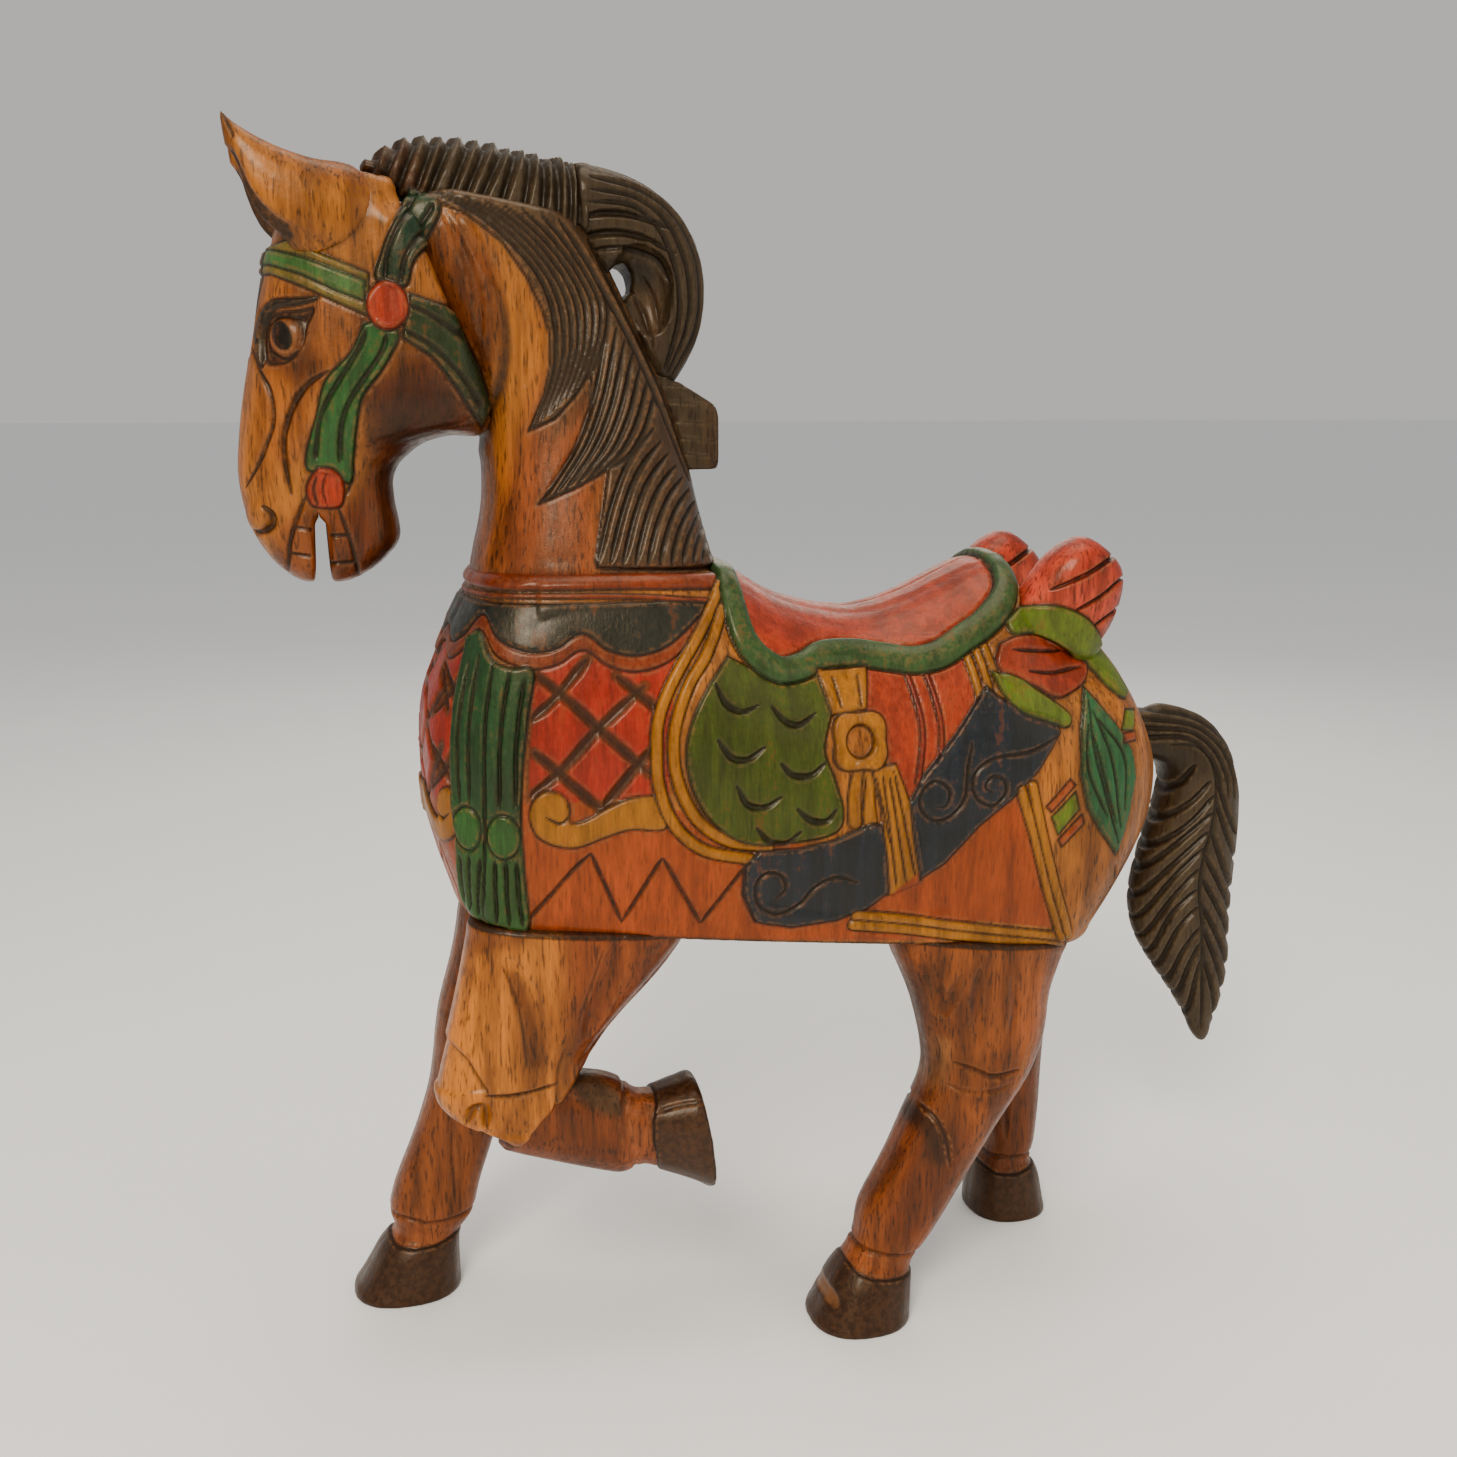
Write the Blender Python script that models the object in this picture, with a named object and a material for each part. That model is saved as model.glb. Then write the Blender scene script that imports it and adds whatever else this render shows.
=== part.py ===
"""A carved and painted wooden carousel-style horse, prancing on three hooves.

The horse faces -X, its left side faces -Y, and its hooves stand on z = 0. Each
carved block is a loft: a row of sections that runs down the block, where a
section is given by its two edge points as seen from the side and by its half
width. Glued joints are flat faces pinned with hidden hardwood dowels.

Lengths in this file are written in millimetres and scaled once by MM.
"""
import bpy
import bmesh
from math import cos, sin, tau, copysign
from mathutils import Matrix, Vector

MM = 0.001
GAP = 0.3                 # clearance left between flat glued faces
SEAT_GAP = 0.8            # clearance where one carved surface seats on another
BODY_SIDES = 32           # points round the body's section
BLOCK_SIDES = 20          # points round a head, neck or tail section
LEG_SIDES = 16
DOWEL_SIDES = 12

# Driving dimensions of the stance
SEAM_Y = 0.0              # the body's two halves meet on the centre plane
LEG_Y = 56.0              # centre of each leg from the centre plane
COLLAR_Z = 491.0          # flat top of the shoulders, where the neck stands
BELLY_FRONT = (-216.0, 292.0)
BELLY_REAR = (167.0, 251.0)
POLL = (-250.0, 722.0)    # top of the joint between head and neck
THROAT = (-191.0, 568.0)  # bottom of the joint between head and neck
KNEE_BACK = (-156.0, 194.0)
KNEE_FRONT = (-204.0, 143.0)
CREST_REAR_X = -134.0     # joint between the mane's crest and its curl

# Dowels: diameter, whole length
BODY_DOWEL = (14.0, 60.0)
NECK_DOWEL = (16.0, 70.0)
HEAD_DOWEL = (14.0, 56.0)
LEG_DOWEL = (18.0, 76.0)
KNEE_DOWEL = (12.0, 48.0)
ROLL_DOWEL = (9.0, 36.0)
SMALL_DOWEL = (7.0, 26.0)

# name: (colour, roughness)
FINISHES = {
    "honey_wood": ((0.43, 0.18, 0.045), 0.38),
    "red_brown_wood": ((0.25, 0.075, 0.022), 0.40),
    "dark_hair": ((0.045, 0.032, 0.022), 0.48),
    "painted_wood": ((0.42, 0.13, 0.045), 0.38),
    "red_paint": ((0.40, 0.045, 0.030), 0.35),
    "beech_dowel": ((0.60, 0.42, 0.25), 0.60),
}


# ---------------------------------------------------------------- building tools

def clear_scene():
    for obj in list(bpy.data.objects):
        bpy.data.objects.remove(obj, do_unlink=True)


def finish_material(name):
    material = bpy.data.materials.get(name)
    if material is None:
        colour, roughness = FINISHES[name]
        material = bpy.data.materials.new(name)
        material.use_nodes = True
        shader = material.node_tree.nodes["Principled BSDF"]
        shader.inputs["Base Color"].default_value = (*colour, 1.0)
        shader.inputs["Roughness"].default_value = roughness
        shader.inputs["Metallic"].default_value = 0.0
    return material


def add_object(name, bm, finish):
    """Turn a bmesh into a named object with outward faces and its own material."""
    bmesh.ops.recalc_face_normals(bm, faces=bm.faces[:])
    if bm.calc_volume(signed=True) < 0:
        bmesh.ops.reverse_faces(bm, faces=bm.faces[:])
    mesh = bpy.data.meshes.new(name)
    bm.to_mesh(mesh)
    bm.free()
    mesh.shade_smooth()
    mesh.set_sharp_from_angle(angle=0.7)
    obj = bpy.data.objects.new(name, mesh)
    obj.data.materials.append(finish_material(finish))
    bpy.context.scene.collection.objects.link(obj)
    return obj


def make_cutter(obj):
    obj.hide_render = True
    obj.display_type = "WIRE"
    return obj


def cut_away(obj, cutter):
    boolean = obj.modifiers.new("cut_" + cutter.name, "BOOLEAN")
    boolean.operation = "DIFFERENCE"
    boolean.solver = "EXACT"
    boolean.object = cutter


def smooth_rows(rows, steps):
    """Read `steps` rows for each span of a smooth curve through the given rows."""
    result = []
    for i in range(len(rows) - 1):
        before = rows[max(i - 1, 0)]
        start, end = rows[i], rows[i + 1]
        after = rows[min(i + 2, len(rows) - 1)]
        for step in range(steps):
            t = step / steps
            result.append([
                0.5 * (2 * b + (c - a) * t + (2 * a - 5 * b + 4 * c - d) * t * t
                       + (3 * b - a - 3 * c + d) * t * t * t)
                for a, b, c, d in zip(before, start, end, after)
            ])
    result.append(list(rows[-1]))
    return result


def section_ring(row, sides, power_one, power_two):
    """One section: edge one (x, z), edge two (x, z), half width, centre y."""
    x_one, z_one, x_two, z_two, half_width, y_mid = row
    middle = Vector(((x_one + x_two) / 2, y_mid, (z_one + z_two) / 2))
    reach = Vector(((x_one - x_two) / 2, 0.0, (z_one - z_two) / 2))
    ring = []
    for k in range(sides):
        angle = tau * k / sides
        along, across = cos(angle), sin(angle)
        power = power_one if along > 0 else power_two
        along = copysign(abs(along) ** (2 / power), along)
        across = copysign(abs(across) ** (2 / power), across)
        ring.append(middle + reach * along + Vector((0.0, half_width * across, 0.0)))
    return ring


def loft(rows, sides, steps, powers=(2.4, 2.4), grow=0.0):
    """Skin the sections into one closed mesh; `grow` thickens it all round."""
    bm = bmesh.new()
    rings = []
    rows = smooth_rows(rows, steps)
    if grow:
        rows = grown_rows(rows, grow)
    for row in rows:
        points = section_ring(row, sides, *powers)
        rings.append([bm.verts.new(point * MM) for point in points])
    for lower, upper in zip(rings, rings[1:]):
        for k in range(sides):
            nxt = (k + 1) % sides
            bm.faces.new((lower[k], lower[nxt], upper[nxt], upper[k]))
    bm.faces.new(rings[0])
    bm.faces.new(rings[-1])
    return bm


def grown_rows(rows, grow):
    """Widen every section by `grow`, and move the two end sections out by it."""
    grown = []
    for x_one, z_one, x_two, z_two, half_width, y_mid in rows:
        reach = Vector((x_one - x_two, z_one - z_two)).normalized() * grow
        grown.append([x_one + reach.x, z_one + reach.y, x_two - reach.x,
                      z_two - reach.y, half_width + grow, y_mid])
    for end, inner in ((0, 1), (-1, -2)):
        near, far = rows[end], rows[inner]
        out = Vector((near[0] + near[2] - far[0] - far[2],
                      near[1] + near[3] - far[1] - far[3])).normalized() * 2 * grow
        for k, shift in enumerate((out.x, out.y, out.x, out.y)):
            grown[end][k] += shift
    return grown


def trim(bm, point, normal):
    """Cut the mesh by a plane, keep the side that the normal points away from."""
    point, normal = Vector(point) * MM, Vector(normal).normalized()
    bmesh.ops.bisect_plane(
        bm, geom=bm.verts[:] + bm.edges[:] + bm.faces[:], dist=1e-7,
        plane_co=point, plane_no=normal, clear_outer=True)
    rim = [edge for edge in bm.edges if edge.is_boundary]
    if rim:
        bmesh.ops.holes_fill(bm, edges=rim, sides=0)


def side_normal(start, end):
    """Normal, in the side view, of the line from start to end (points right of it)."""
    line = Vector((end[0] - start[0], end[1] - start[1])).normalized()
    return Vector((line.y, 0.0, -line.x))


def prism(outline, half_width):
    """A straight block with the given outline in the side view."""
    bm = bmesh.new()
    near = [bm.verts.new(Vector((x, -half_width, z)) * MM) for x, z in outline]
    bm.faces.new(near)
    swept = bmesh.ops.extrude_face_region(bm, geom=bm.faces[:])["geom"]
    far = [item for item in swept if isinstance(item, bmesh.types.BMVert)]
    bmesh.ops.translate(bm, vec=(0, 2 * half_width * MM, 0), verts=far)
    return bm


def cylinder(diameter, length):
    bm = bmesh.new()
    bmesh.ops.create_cone(
        bm, cap_ends=True, segments=DOWEL_SIDES, radius1=diameter / 2 * MM,
        radius2=diameter / 2 * MM, depth=length * MM)
    return bm


def add_dowel(name, size, centre, axis, *hosts):
    """A hidden dowel, and the bore it needs in each of the blocks it joins."""
    turn = Vector((0, 0, 1)).rotation_difference(Vector(axis)).to_matrix().to_4x4()
    place = Matrix.Translation(Vector(centre) * MM) @ turn
    diameter, length = size
    dowel = add_object(name, cylinder(diameter, length), "beech_dowel")
    dowel.matrix_world = place
    bore_bm = cylinder(diameter + 2 * GAP, length + 4 * GAP)
    bore = make_cutter(add_object(name + "_bore", bore_bm, "beech_dowel"))
    bore.matrix_world = place
    for host in hosts:
        cut_away(host, bore)


# ------------------------------------------------------------------------- body

BELLY_NORMAL = side_normal(BELLY_FRONT, BELLY_REAR)     # straight down and back
HEAD_NORMAL = -side_normal(POLL, THROAT)                # out of the head, to the neck
KNEE_NORMAL = -side_normal(KNEE_BACK, KNEE_FRONT)       # out of the knee, to the shin


def belly_point(x, drop=0.0):
    slope = (BELLY_REAR[1] - BELLY_FRONT[1]) / (BELLY_REAR[0] - BELLY_FRONT[0])
    return Vector((x, 0.0, BELLY_FRONT[1] + slope * (x - BELLY_FRONT[0]) - drop))


# Top edge x, z, bottom edge x, z, half width, centre y. The bottom edge runs on
# below the belly, which is a flat plane, so that the underside comes out broad.
BODY_ROWS = [
    (-235, 393, -235, 377, 16, 0),
    (-232, 420, -232, 344, 44, 0),
    (-220, 451, -220, 303, 62, 0),
    (-205, 481, -206, 268, 73, 0),
    (-188, 515, -188, 236, 80, 0),
    (-150, 537, -150, 224, 84, 0),
    (-100, 534, -100, 219, 87, 0),
    (-62, 505, -60, 215, 88, 0),
    (-36, 488, -36, 212, 88, 0),
    (-10, 474, -10, 209, 88, 0),
    (35, 465, 35, 204, 88, 0),
    (75, 475, 75, 200, 88, 0),
    (112, 492, 112, 197, 88, 0),
    (134, 491, 134, 198, 87, 0),
    (158, 462, 158, 206, 85, 0),
    (191, 449, 184, 240, 80, 0),
    (214, 424, 209, 276, 70, 0),
    (232, 394, 229, 304, 53, 0),
    (244, 370, 243, 324, 32, 0),
    (249, 356, 249, 338, 14, 0),
]
BODY_POWERS = (2.3, 3.4)      # round over the back, squarer along the belly
WITHERS_X = -46               # the flat of the shoulders ends here, at the saddle
SHOULDER_CUT = [(-300, COLLAR_Z), (WITHERS_X, COLLAR_Z), (WITHERS_X, 600), (-300, 600)]
SHOULDER_CUT_HALF_WIDTH = 120
BODY_DOWELS = (("body_dowel_front", -150, 390), ("body_dowel_middle", 10, 365),
               ("body_dowel_rear", 150, 365))      # name, x, z


def body_loft(grow=0.0):
    bm = loft(BODY_ROWS, BODY_SIDES, 2, BODY_POWERS, grow)
    trim(bm, belly_point(0.0, grow), BELLY_NORMAL)
    return bm


def make_body():
    """Two glued planks, carved as one: each half ends on the centre plane."""
    halves = []
    for side, name in ((-1, "body_left"), (1, "body_right")):
        bm = body_loft()
        trim(bm, (0, SEAM_Y + side * GAP / 2, 0), (0, -side, 0))
        half = add_object(name, bm, "painted_wood")
        halves.append(half)
    shoulder = prism(SHOULDER_CUT, SHOULDER_CUT_HALF_WIDTH)
    cutter = make_cutter(add_object("shoulder_cut", shoulder, "painted_wood"))
    for half in halves:
        cut_away(half, cutter)
    left, right = halves
    for name, x, z in BODY_DOWELS:
        add_dowel(name, BODY_DOWEL, (x, 0, z), (0, 1, 0), left, right)
    return left, right


# ------------------------------------------------------------- neck, mane and head

# Front edge x, z, rear edge x, z, half width, centre y
NECK_ROWS = [
    (-202, 479, -52, 479, 64, 0),
    (-200, 501, -58, 501, 62, 0),
    (-194, 529, -66, 529, 57, 0),
    (-193, 557, -73, 559, 51, 0),
    (-196, 585, -85, 595, 47, 0),
    (-206, 614, -101, 631, 45, 0),
    (-222, 644, -117, 665, 43, 0),
    (-244, 679, -131, 693, 39, 0),
    (-262, 695, -137, 711, 36, 0),
]

# Top edge x, z, bottom edge x, z, half width, centre y
CREST_ROWS = [
    (-256, 723, -254, 716, 9, 0),
    (-246, 731, -240, 701, 22, 0),
    (-230, 738, -222, 689, 27, 0),
    (-205, 739, -200, 679, 30, 0),
    (-170, 735, -168, 677, 31, 0),
    (-134, 728, -134, 675, 31, 0),
    (-120, 725, -120, 675, 31, 0),
]
CREST_SEAT = ((-262, 711), (-128, 689))    # the crest's flat glued underside

# Outer edge x, z, inner edge x, z, half width, centre y
CURL_ROWS = [
    (-150, 729, -150, 690, 30, 0),
    (-126, 726, -140, 688, 31, 0),
    (-100, 719, -134, 676, 31, 0),
    (-76, 703, -128, 662, 30, 0),
    (-62, 680, -120, 650, 28, 0),
    (-58, 655, -113, 640, 25, 0),
    (-62, 630, -105, 625, 22, 0),
    (-72, 610, -96, 612, 16, 0),
    (-80, 599, -90, 602, 9, 0),
]
CURL_EYE = (-111, 660, 19, 25)            # through hole: centre x, z, width, height
CURL_EYE_LENGTH = 120
CURL_HOLLOW = ((-101, 34, 651), (23, 22, 31))   # centre of one side, three radii

# Front edge x, z, rear edge x, z, half width, centre y
HEAD_ROWS = [
    (-284, 720, -256, 731, 20, 0),
    (-300, 695, -226, 725, 35, 0),
    (-311, 669, -194, 701, 43, 0),
    (-318, 641, -172, 661, 46, 0),
    (-323, 614, -168, 618, 46, 0),
    (-328, 589, -176, 582, 42, 0),
    (-331, 567, -222, 570, 36, 0),
    (-332, 549, -244, 552, 32, 0),
    (-329, 529, -244, 529, 30, 0),
    (-323, 513, -243, 513, 29, 0),
    (-313, 499, -256, 498, 26, 0),
    (-303, 491, -268, 491, 21, 0),
]
HEAD_POWERS = (2.3, 2.5)      # squareness of the sections, front and rear
NECK_POWERS = (2.5, 2.3)
CREST_POWERS = (2.2, 3.0)
CURL_POWERS = (2.4, 2.4)
HEAD_SEAT_HALF_WIDTH = 70
HEAD_SEAT_RISE = 60           # how far the seat's cutter reaches above the poll
HEAD_SEAT_FRONT = [(-300, 549), (-400, 549)]   # passes under the jaw, clear of the neck
MOUTH_SLOT = [(-294, 480), (-281, 480), (-283, 524), (-289, 531), (-293, 524)]
MOUTH_HALF_WIDTH = 45
BLOCK_OUTLINE = [(-98, 553), (-98, 617), (-80, 604), (-53, 588), (-53, 553)]
BLOCK_HALF_WIDTH = 14
NECK_DOWELS = (("neck_dowel_left", -150, -27), ("neck_dowel_right", -112, 27))  # x, y
HEAD_DOWELS = (("head_dowel_upper", -229, 667), ("head_dowel_lower", -211, 621))  # x, z
CREST_DOWEL_AT = (-180, 0, 697.5)
CURL_DOWEL_AT = (CREST_REAR_X, 0, 710)
BLOCK_DOWEL_AT = (-76, 0, 572)


def crest_up():
    return -side_normal(*CREST_SEAT)


def crest_point(lift):
    x, z = CREST_SEAT[0]
    return Vector((x, 0.0, z)) + crest_up() * lift


def head_loft(grow=0.0):
    """The skull and jaw; a grown copy, used as a cutter, keeps its whole back."""
    bm = loft(HEAD_ROWS, BLOCK_SIDES, 2, HEAD_POWERS, grow)
    if not grow:
        trim(bm, (POLL[0], 0.0, POLL[1]), HEAD_NORMAL)
        trim(bm, crest_point(-GAP), crest_up())
    return bm


def neck_loft(grow=0.0):
    bm = loft(NECK_ROWS, BLOCK_SIDES, 2, NECK_POWERS, grow)
    if not grow:
        trim(bm, (0, 0, COLLAR_Z + GAP), (0, 0, -1))
        trim(bm, crest_point(-GAP), crest_up())
    return bm


def head_seat():
    """Wedge cut out of the neck, where the head block is glued on."""
    poll = Vector((POLL[0], 0, POLL[1])) + HEAD_NORMAL * GAP
    throat = Vector((THROAT[0], 0, THROAT[1])) + HEAD_NORMAL * GAP
    above = poll + (poll - throat).normalized() * HEAD_SEAT_RISE
    outline = [(point.x, point.z) for point in (above, throat)] + HEAD_SEAT_FRONT
    outline.append((HEAD_SEAT_FRONT[-1][0], above.z))
    return prism(outline, HEAD_SEAT_HALF_WIDTH)


def make_neck_and_head(body_left, body_right):
    neck = add_object("neck", neck_loft(), "honey_wood")
    cut_away(neck, make_cutter(add_object("head_seat", head_seat(), "honey_wood")))
    head = add_object("head", head_loft(), "honey_wood")
    slot = prism(MOUTH_SLOT, MOUTH_HALF_WIDTH)
    cut_away(head, make_cutter(add_object("mouth_cut", slot, "honey_wood")))

    crest_bm = loft(CREST_ROWS, BLOCK_SIDES, 2, CREST_POWERS)
    trim(crest_bm, crest_point(0.0), -crest_up())
    trim(crest_bm, (CREST_REAR_X - GAP / 2, 0, 0), (1, 0, 0))
    crest = add_object("mane_crest", crest_bm, "dark_hair")

    curl_bm = loft(CURL_ROWS, BLOCK_SIDES, 2, CURL_POWERS)
    trim(curl_bm, (CREST_REAR_X + GAP / 2, 0, 0), (-1, 0, 0))
    curl = add_object("mane_curl", curl_bm, "dark_hair")
    curl_bm = loft(CURL_ROWS, BLOCK_SIDES, 2, CURL_POWERS, SEAT_GAP)
    curl_shape = make_cutter(add_object("curl_shape", curl_bm, "dark_hair"))
    neck_shape = make_cutter(add_object("neck_shape", neck_loft(SEAT_GAP), "honey_wood"))
    cut_away(curl, neck_shape)
    cut_away(curl, make_cutter(add_object("curl_eye_cut", curl_eye(), "dark_hair")))
    for side, name in ((-1, "curl_hollow_left"), (1, "curl_hollow_right")):
        hollow = add_object(name, curl_hollow(side), "dark_hair")
        cut_away(curl, make_cutter(hollow))

    block_bm = prism(BLOCK_OUTLINE, BLOCK_HALF_WIDTH)
    block = add_object("support_block", block_bm, "dark_hair")
    cut_away(block, neck_shape)
    cut_away(block, curl_shape)

    for (name, x, y), body in zip(NECK_DOWELS, (body_left, body_right)):
        add_dowel(name, NECK_DOWEL, (x, y, COLLAR_Z), (0, 0, 1), neck, body)
    for name, x, z in HEAD_DOWELS:
        add_dowel(name, HEAD_DOWEL, (x, 0, z), HEAD_NORMAL, head, neck)
    add_dowel("crest_dowel", SMALL_DOWEL, CREST_DOWEL_AT, crest_up(), crest, neck)
    add_dowel("curl_dowel", SMALL_DOWEL, CURL_DOWEL_AT, (1, 0, 0), crest, curl)
    add_dowel("block_dowel", SMALL_DOWEL, BLOCK_DOWEL_AT, (1, 0, 0), block, neck)


def curl_eye():
    x, z, width, height = CURL_EYE
    bm = cylinder(1.0, CURL_EYE_LENGTH)
    bmesh.ops.scale(bm, vec=(width, height, 1.0), verts=bm.verts)
    turn = Matrix.Rotation(tau / 4, 4, "X")
    place = Matrix.Translation(Vector((x, 0, z)) * MM) @ turn
    bmesh.ops.transform(bm, matrix=place, verts=bm.verts)
    return bm


def curl_hollow(side):
    (x, y, z), radii = CURL_HOLLOW
    bm = bmesh.new()
    bmesh.ops.create_uvsphere(bm, u_segments=16, v_segments=10, radius=MM)
    bmesh.ops.scale(bm, vec=radii, verts=bm.verts)
    bmesh.ops.translate(bm, vec=Vector((x, side * y, z)) * MM, verts=bm.verts)
    return bm


# Upper edge x, z, lower edge x, z, half width, distance from the centre plane
EAR_ROWS = [
    (-246, 705, -256, 673, 13, 27),
    (-262, 717, -270, 668, 15, 31),
    (-282, 720, -292, 672, 14, 35),
    (-300, 725, -312, 685, 11, 37),
    (-315, 732, -322, 703, 8, 37),
    (-324, 738, -327, 721, 4.5, 36),
    (-329, 743, -329, 735, 1.5, 35),
]
EAR_SIDES = 16
EAR_POWERS = (2.2, 2.2)


def mirrored_rows(rows, side):
    return [(*row[:5], side * row[5]) for row in rows]


def make_ears():
    skull = make_cutter(add_object("skull_shape", head_loft(SEAT_GAP), "honey_wood"))
    for side, name in ((-1, "ear_left"), (1, "ear_right")):
        bm = loft(mirrored_rows(EAR_ROWS, side), EAR_SIDES, 2, EAR_POWERS)
        ear = add_object(name, bm, "honey_wood")
        cut_away(ear, skull)


# ------------------------------------------------------------------------- legs

LEG_POWERS = (2.5, 2.3)
SHIN_POWERS = (2.4, 2.4)
FORELEG_LEFT_DOWEL_X = -150
FORELEG_RIGHT_DOWEL_X = -175
HINDLEG_LEFT_DOWEL_X = 110
HINDLEG_RIGHT_DOWEL_X = 150

# Front edge x, z, rear edge x, z, half width, distance from the centre plane
FORELEG_UPPER_ROWS = [
    (-212, 307, -72, 294, 30, LEG_Y),
    (-216, 285, -83, 277, 30, LEG_Y),
    (-223, 251, -105, 251, 29, LEG_Y),
    (-231, 219, -130, 225, 28, LEG_Y),
    (-237, 196, -146, 203, 27, LEG_Y),
    (-238, 183, -148, 179, 26, LEG_Y),
    (-228, 170, -150, 153, 24, LEG_Y),
    (-208, 162, -160, 137, 20, LEG_Y),
]
FORELEG_LOWER_ROWS = [
    (-182, 198, -222, 158, 20, LEG_Y),
    (-168, 195, -196, 145, 22, LEG_Y),
    (-152, 190, -172, 136, 21, LEG_Y),
    (-137, 187, -146, 127, 20, LEG_Y),
    (-126, 182, -126, 122, 20, LEG_Y),
    (-117, 174, -114, 126, 19, LEG_Y),
    (-106, 172, -98, 121, 22, LEG_Y),
    (-94, 175, -84, 115, 25, LEG_Y),
    (-81, 178, -70, 108, 28, LEG_Y),
]
FORELEG_STRAIGHT_ROWS = [
    (-207, 307, -122, 294, 28, LEG_Y),
    (-209, 281, -135, 277, 28, LEG_Y),
    (-216, 237, -153, 237, 27, LEG_Y),
    (-227, 195, -170, 195, 26, LEG_Y),
    (-234, 147, -182, 147, 23, LEG_Y),
    (-246, 109, -192, 107, 21, LEG_Y),
    (-259, 77, -203, 73, 21, LEG_Y),
    (-264, 56, -209, 51, 22, LEG_Y),
    (-261, 43, -218, 39, 20, LEG_Y),
    (-271, 30, -220, 29, 25, LEG_Y),
    (-281, 13, -220, 13, 29, LEG_Y),
    (-289, 0, -220, 0, 32, LEG_Y),
]
HINDLEG_LEFT_ROWS = [
    (46, 277, 176, 265, 33, LEG_Y),
    (50, 255, 168, 243, 33, LEG_Y),
    (63, 225, 159, 217, 32, LEG_Y),
    (72, 195, 156, 189, 30, LEG_Y),
    (75, 165, 146, 161, 28, LEG_Y),
    (63, 135, 128, 133, 26, LEG_Y),
    (49, 105, 110, 103, 24, LEG_Y),
    (33, 75, 92, 73, 23, LEG_Y),
    (30, 57, 78, 52, 22, LEG_Y),
    (23, 43, 68, 38, 20, LEG_Y),
    (14, 30, 66, 27, 25, LEG_Y),
    (6, 13, 65, 13, 30, LEG_Y),
    (0, 0, 64, 0, 33, LEG_Y),
]
HINDLEG_RIGHT_ROWS = [
    (82, 273, 208, 261, 32, LEG_Y),
    (94, 251, 204, 239, 32, LEG_Y),
    (116, 217, 205, 211, 31, LEG_Y),
    (136, 185, 210, 181, 29, LEG_Y),
    (148, 153, 212, 151, 26, LEG_Y),
    (158, 117, 211, 115, 22, LEG_Y),
    (167, 81, 210, 81, 20, LEG_Y),
    (171, 54, 207, 52, 20, LEG_Y),
    (166, 41, 205, 39, 19, LEG_Y),
    (162, 28, 210, 28, 24, LEG_Y),
    (160, 12, 213, 12, 28, LEG_Y),
    (160, 0, 215, 0, 30, LEG_Y),
]


def make_leg(name, rows, side, body, dowel_x):
    """A leg block: its flat top is glued and dowelled to the belly."""
    bm = loft(mirrored_rows(rows, side), LEG_SIDES, 2, LEG_POWERS)
    trim(bm, belly_point(0.0, GAP), -BELLY_NORMAL)
    leg = add_object(name, bm, "honey_wood")
    centre = belly_point(dowel_x)
    centre.y = side * LEG_Y
    add_dowel(name + "_dowel", LEG_DOWEL, centre, BELLY_NORMAL, leg, body)
    return leg


def make_legs(left, right):
    upper_bm = loft(mirrored_rows(FORELEG_UPPER_ROWS, -1), LEG_SIDES, 2, LEG_POWERS)
    trim(upper_bm, belly_point(0.0, GAP), -BELLY_NORMAL)
    knee = Vector((KNEE_BACK[0], 0.0, KNEE_BACK[1]))
    trim(upper_bm, knee, KNEE_NORMAL)
    upper = add_object("foreleg_left_upper", upper_bm, "honey_wood")
    centre = belly_point(FORELEG_LEFT_DOWEL_X)
    centre.y = -LEG_Y
    add_dowel("foreleg_left_dowel", LEG_DOWEL, centre, BELLY_NORMAL, upper, left)

    lower_bm = loft(mirrored_rows(FORELEG_LOWER_ROWS, -1), LEG_SIDES, 2, SHIN_POWERS)
    trim(lower_bm, knee + KNEE_NORMAL * GAP, -KNEE_NORMAL)
    lower = add_object("foreleg_left_lower", lower_bm, "red_brown_wood")
    knee_middle = ((KNEE_BACK[0] + KNEE_FRONT[0]) / 2, -LEG_Y,
                   (KNEE_BACK[1] + KNEE_FRONT[1]) / 2)
    add_dowel("knee_dowel", KNEE_DOWEL, knee_middle, KNEE_NORMAL, upper, lower)

    make_leg("foreleg_right", FORELEG_STRAIGHT_ROWS, 1, right, FORELEG_RIGHT_DOWEL_X)
    make_leg("hindleg_left", HINDLEG_LEFT_ROWS, -1, left, HINDLEG_LEFT_DOWEL_X)
    make_leg("hindleg_right", HINDLEG_RIGHT_ROWS, 1, right, HINDLEG_RIGHT_DOWEL_X)


# ------------------------------------------------------------ tail and saddle rolls

# Outer edge x, z, inner edge x, z, half width, centre y
TAIL_ROWS = [
    (222, 383, 222, 356, 13, 0),
    (240, 386, 240, 354, 15, 0),
    (257, 389, 256, 351, 18, 0),
    (275, 387, 265, 347, 20, 0),
    (299, 377, 269, 337, 22, 0),
    (318, 355, 267, 322, 23, 0),
    (326, 329, 261, 304, 23, 0),
    (328, 297, 254, 281, 22, 0),
    (327, 261, 249, 253, 20, 0),
    (327, 227, 254, 227, 18, 0),
    (328, 197, 268, 203, 15, 0),
    (323, 167, 288, 175, 11, 0),
    (314, 139, 308, 141, 3, 0),
]
TAIL_HOLE_ROWS = [
    (221, 385, 221, 353, 15, 0),
    (240, 388, 240, 351, 17, 0),
    (270, 392, 270, 344, 20, 0),
]

# Front edge x, z, rear edge x, z, half width, distance from the centre plane
ROLL_ROWS = [
    (124, 452, 182, 432, 16, 47),
    (130, 466, 194, 450, 20, 49),
    (139, 482, 200, 470, 22, 51),
    (149, 496, 199, 487, 21, 53),
    (160, 505, 190, 499, 16, 54),
    (169, 509, 181, 506, 8, 54),
]

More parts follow.
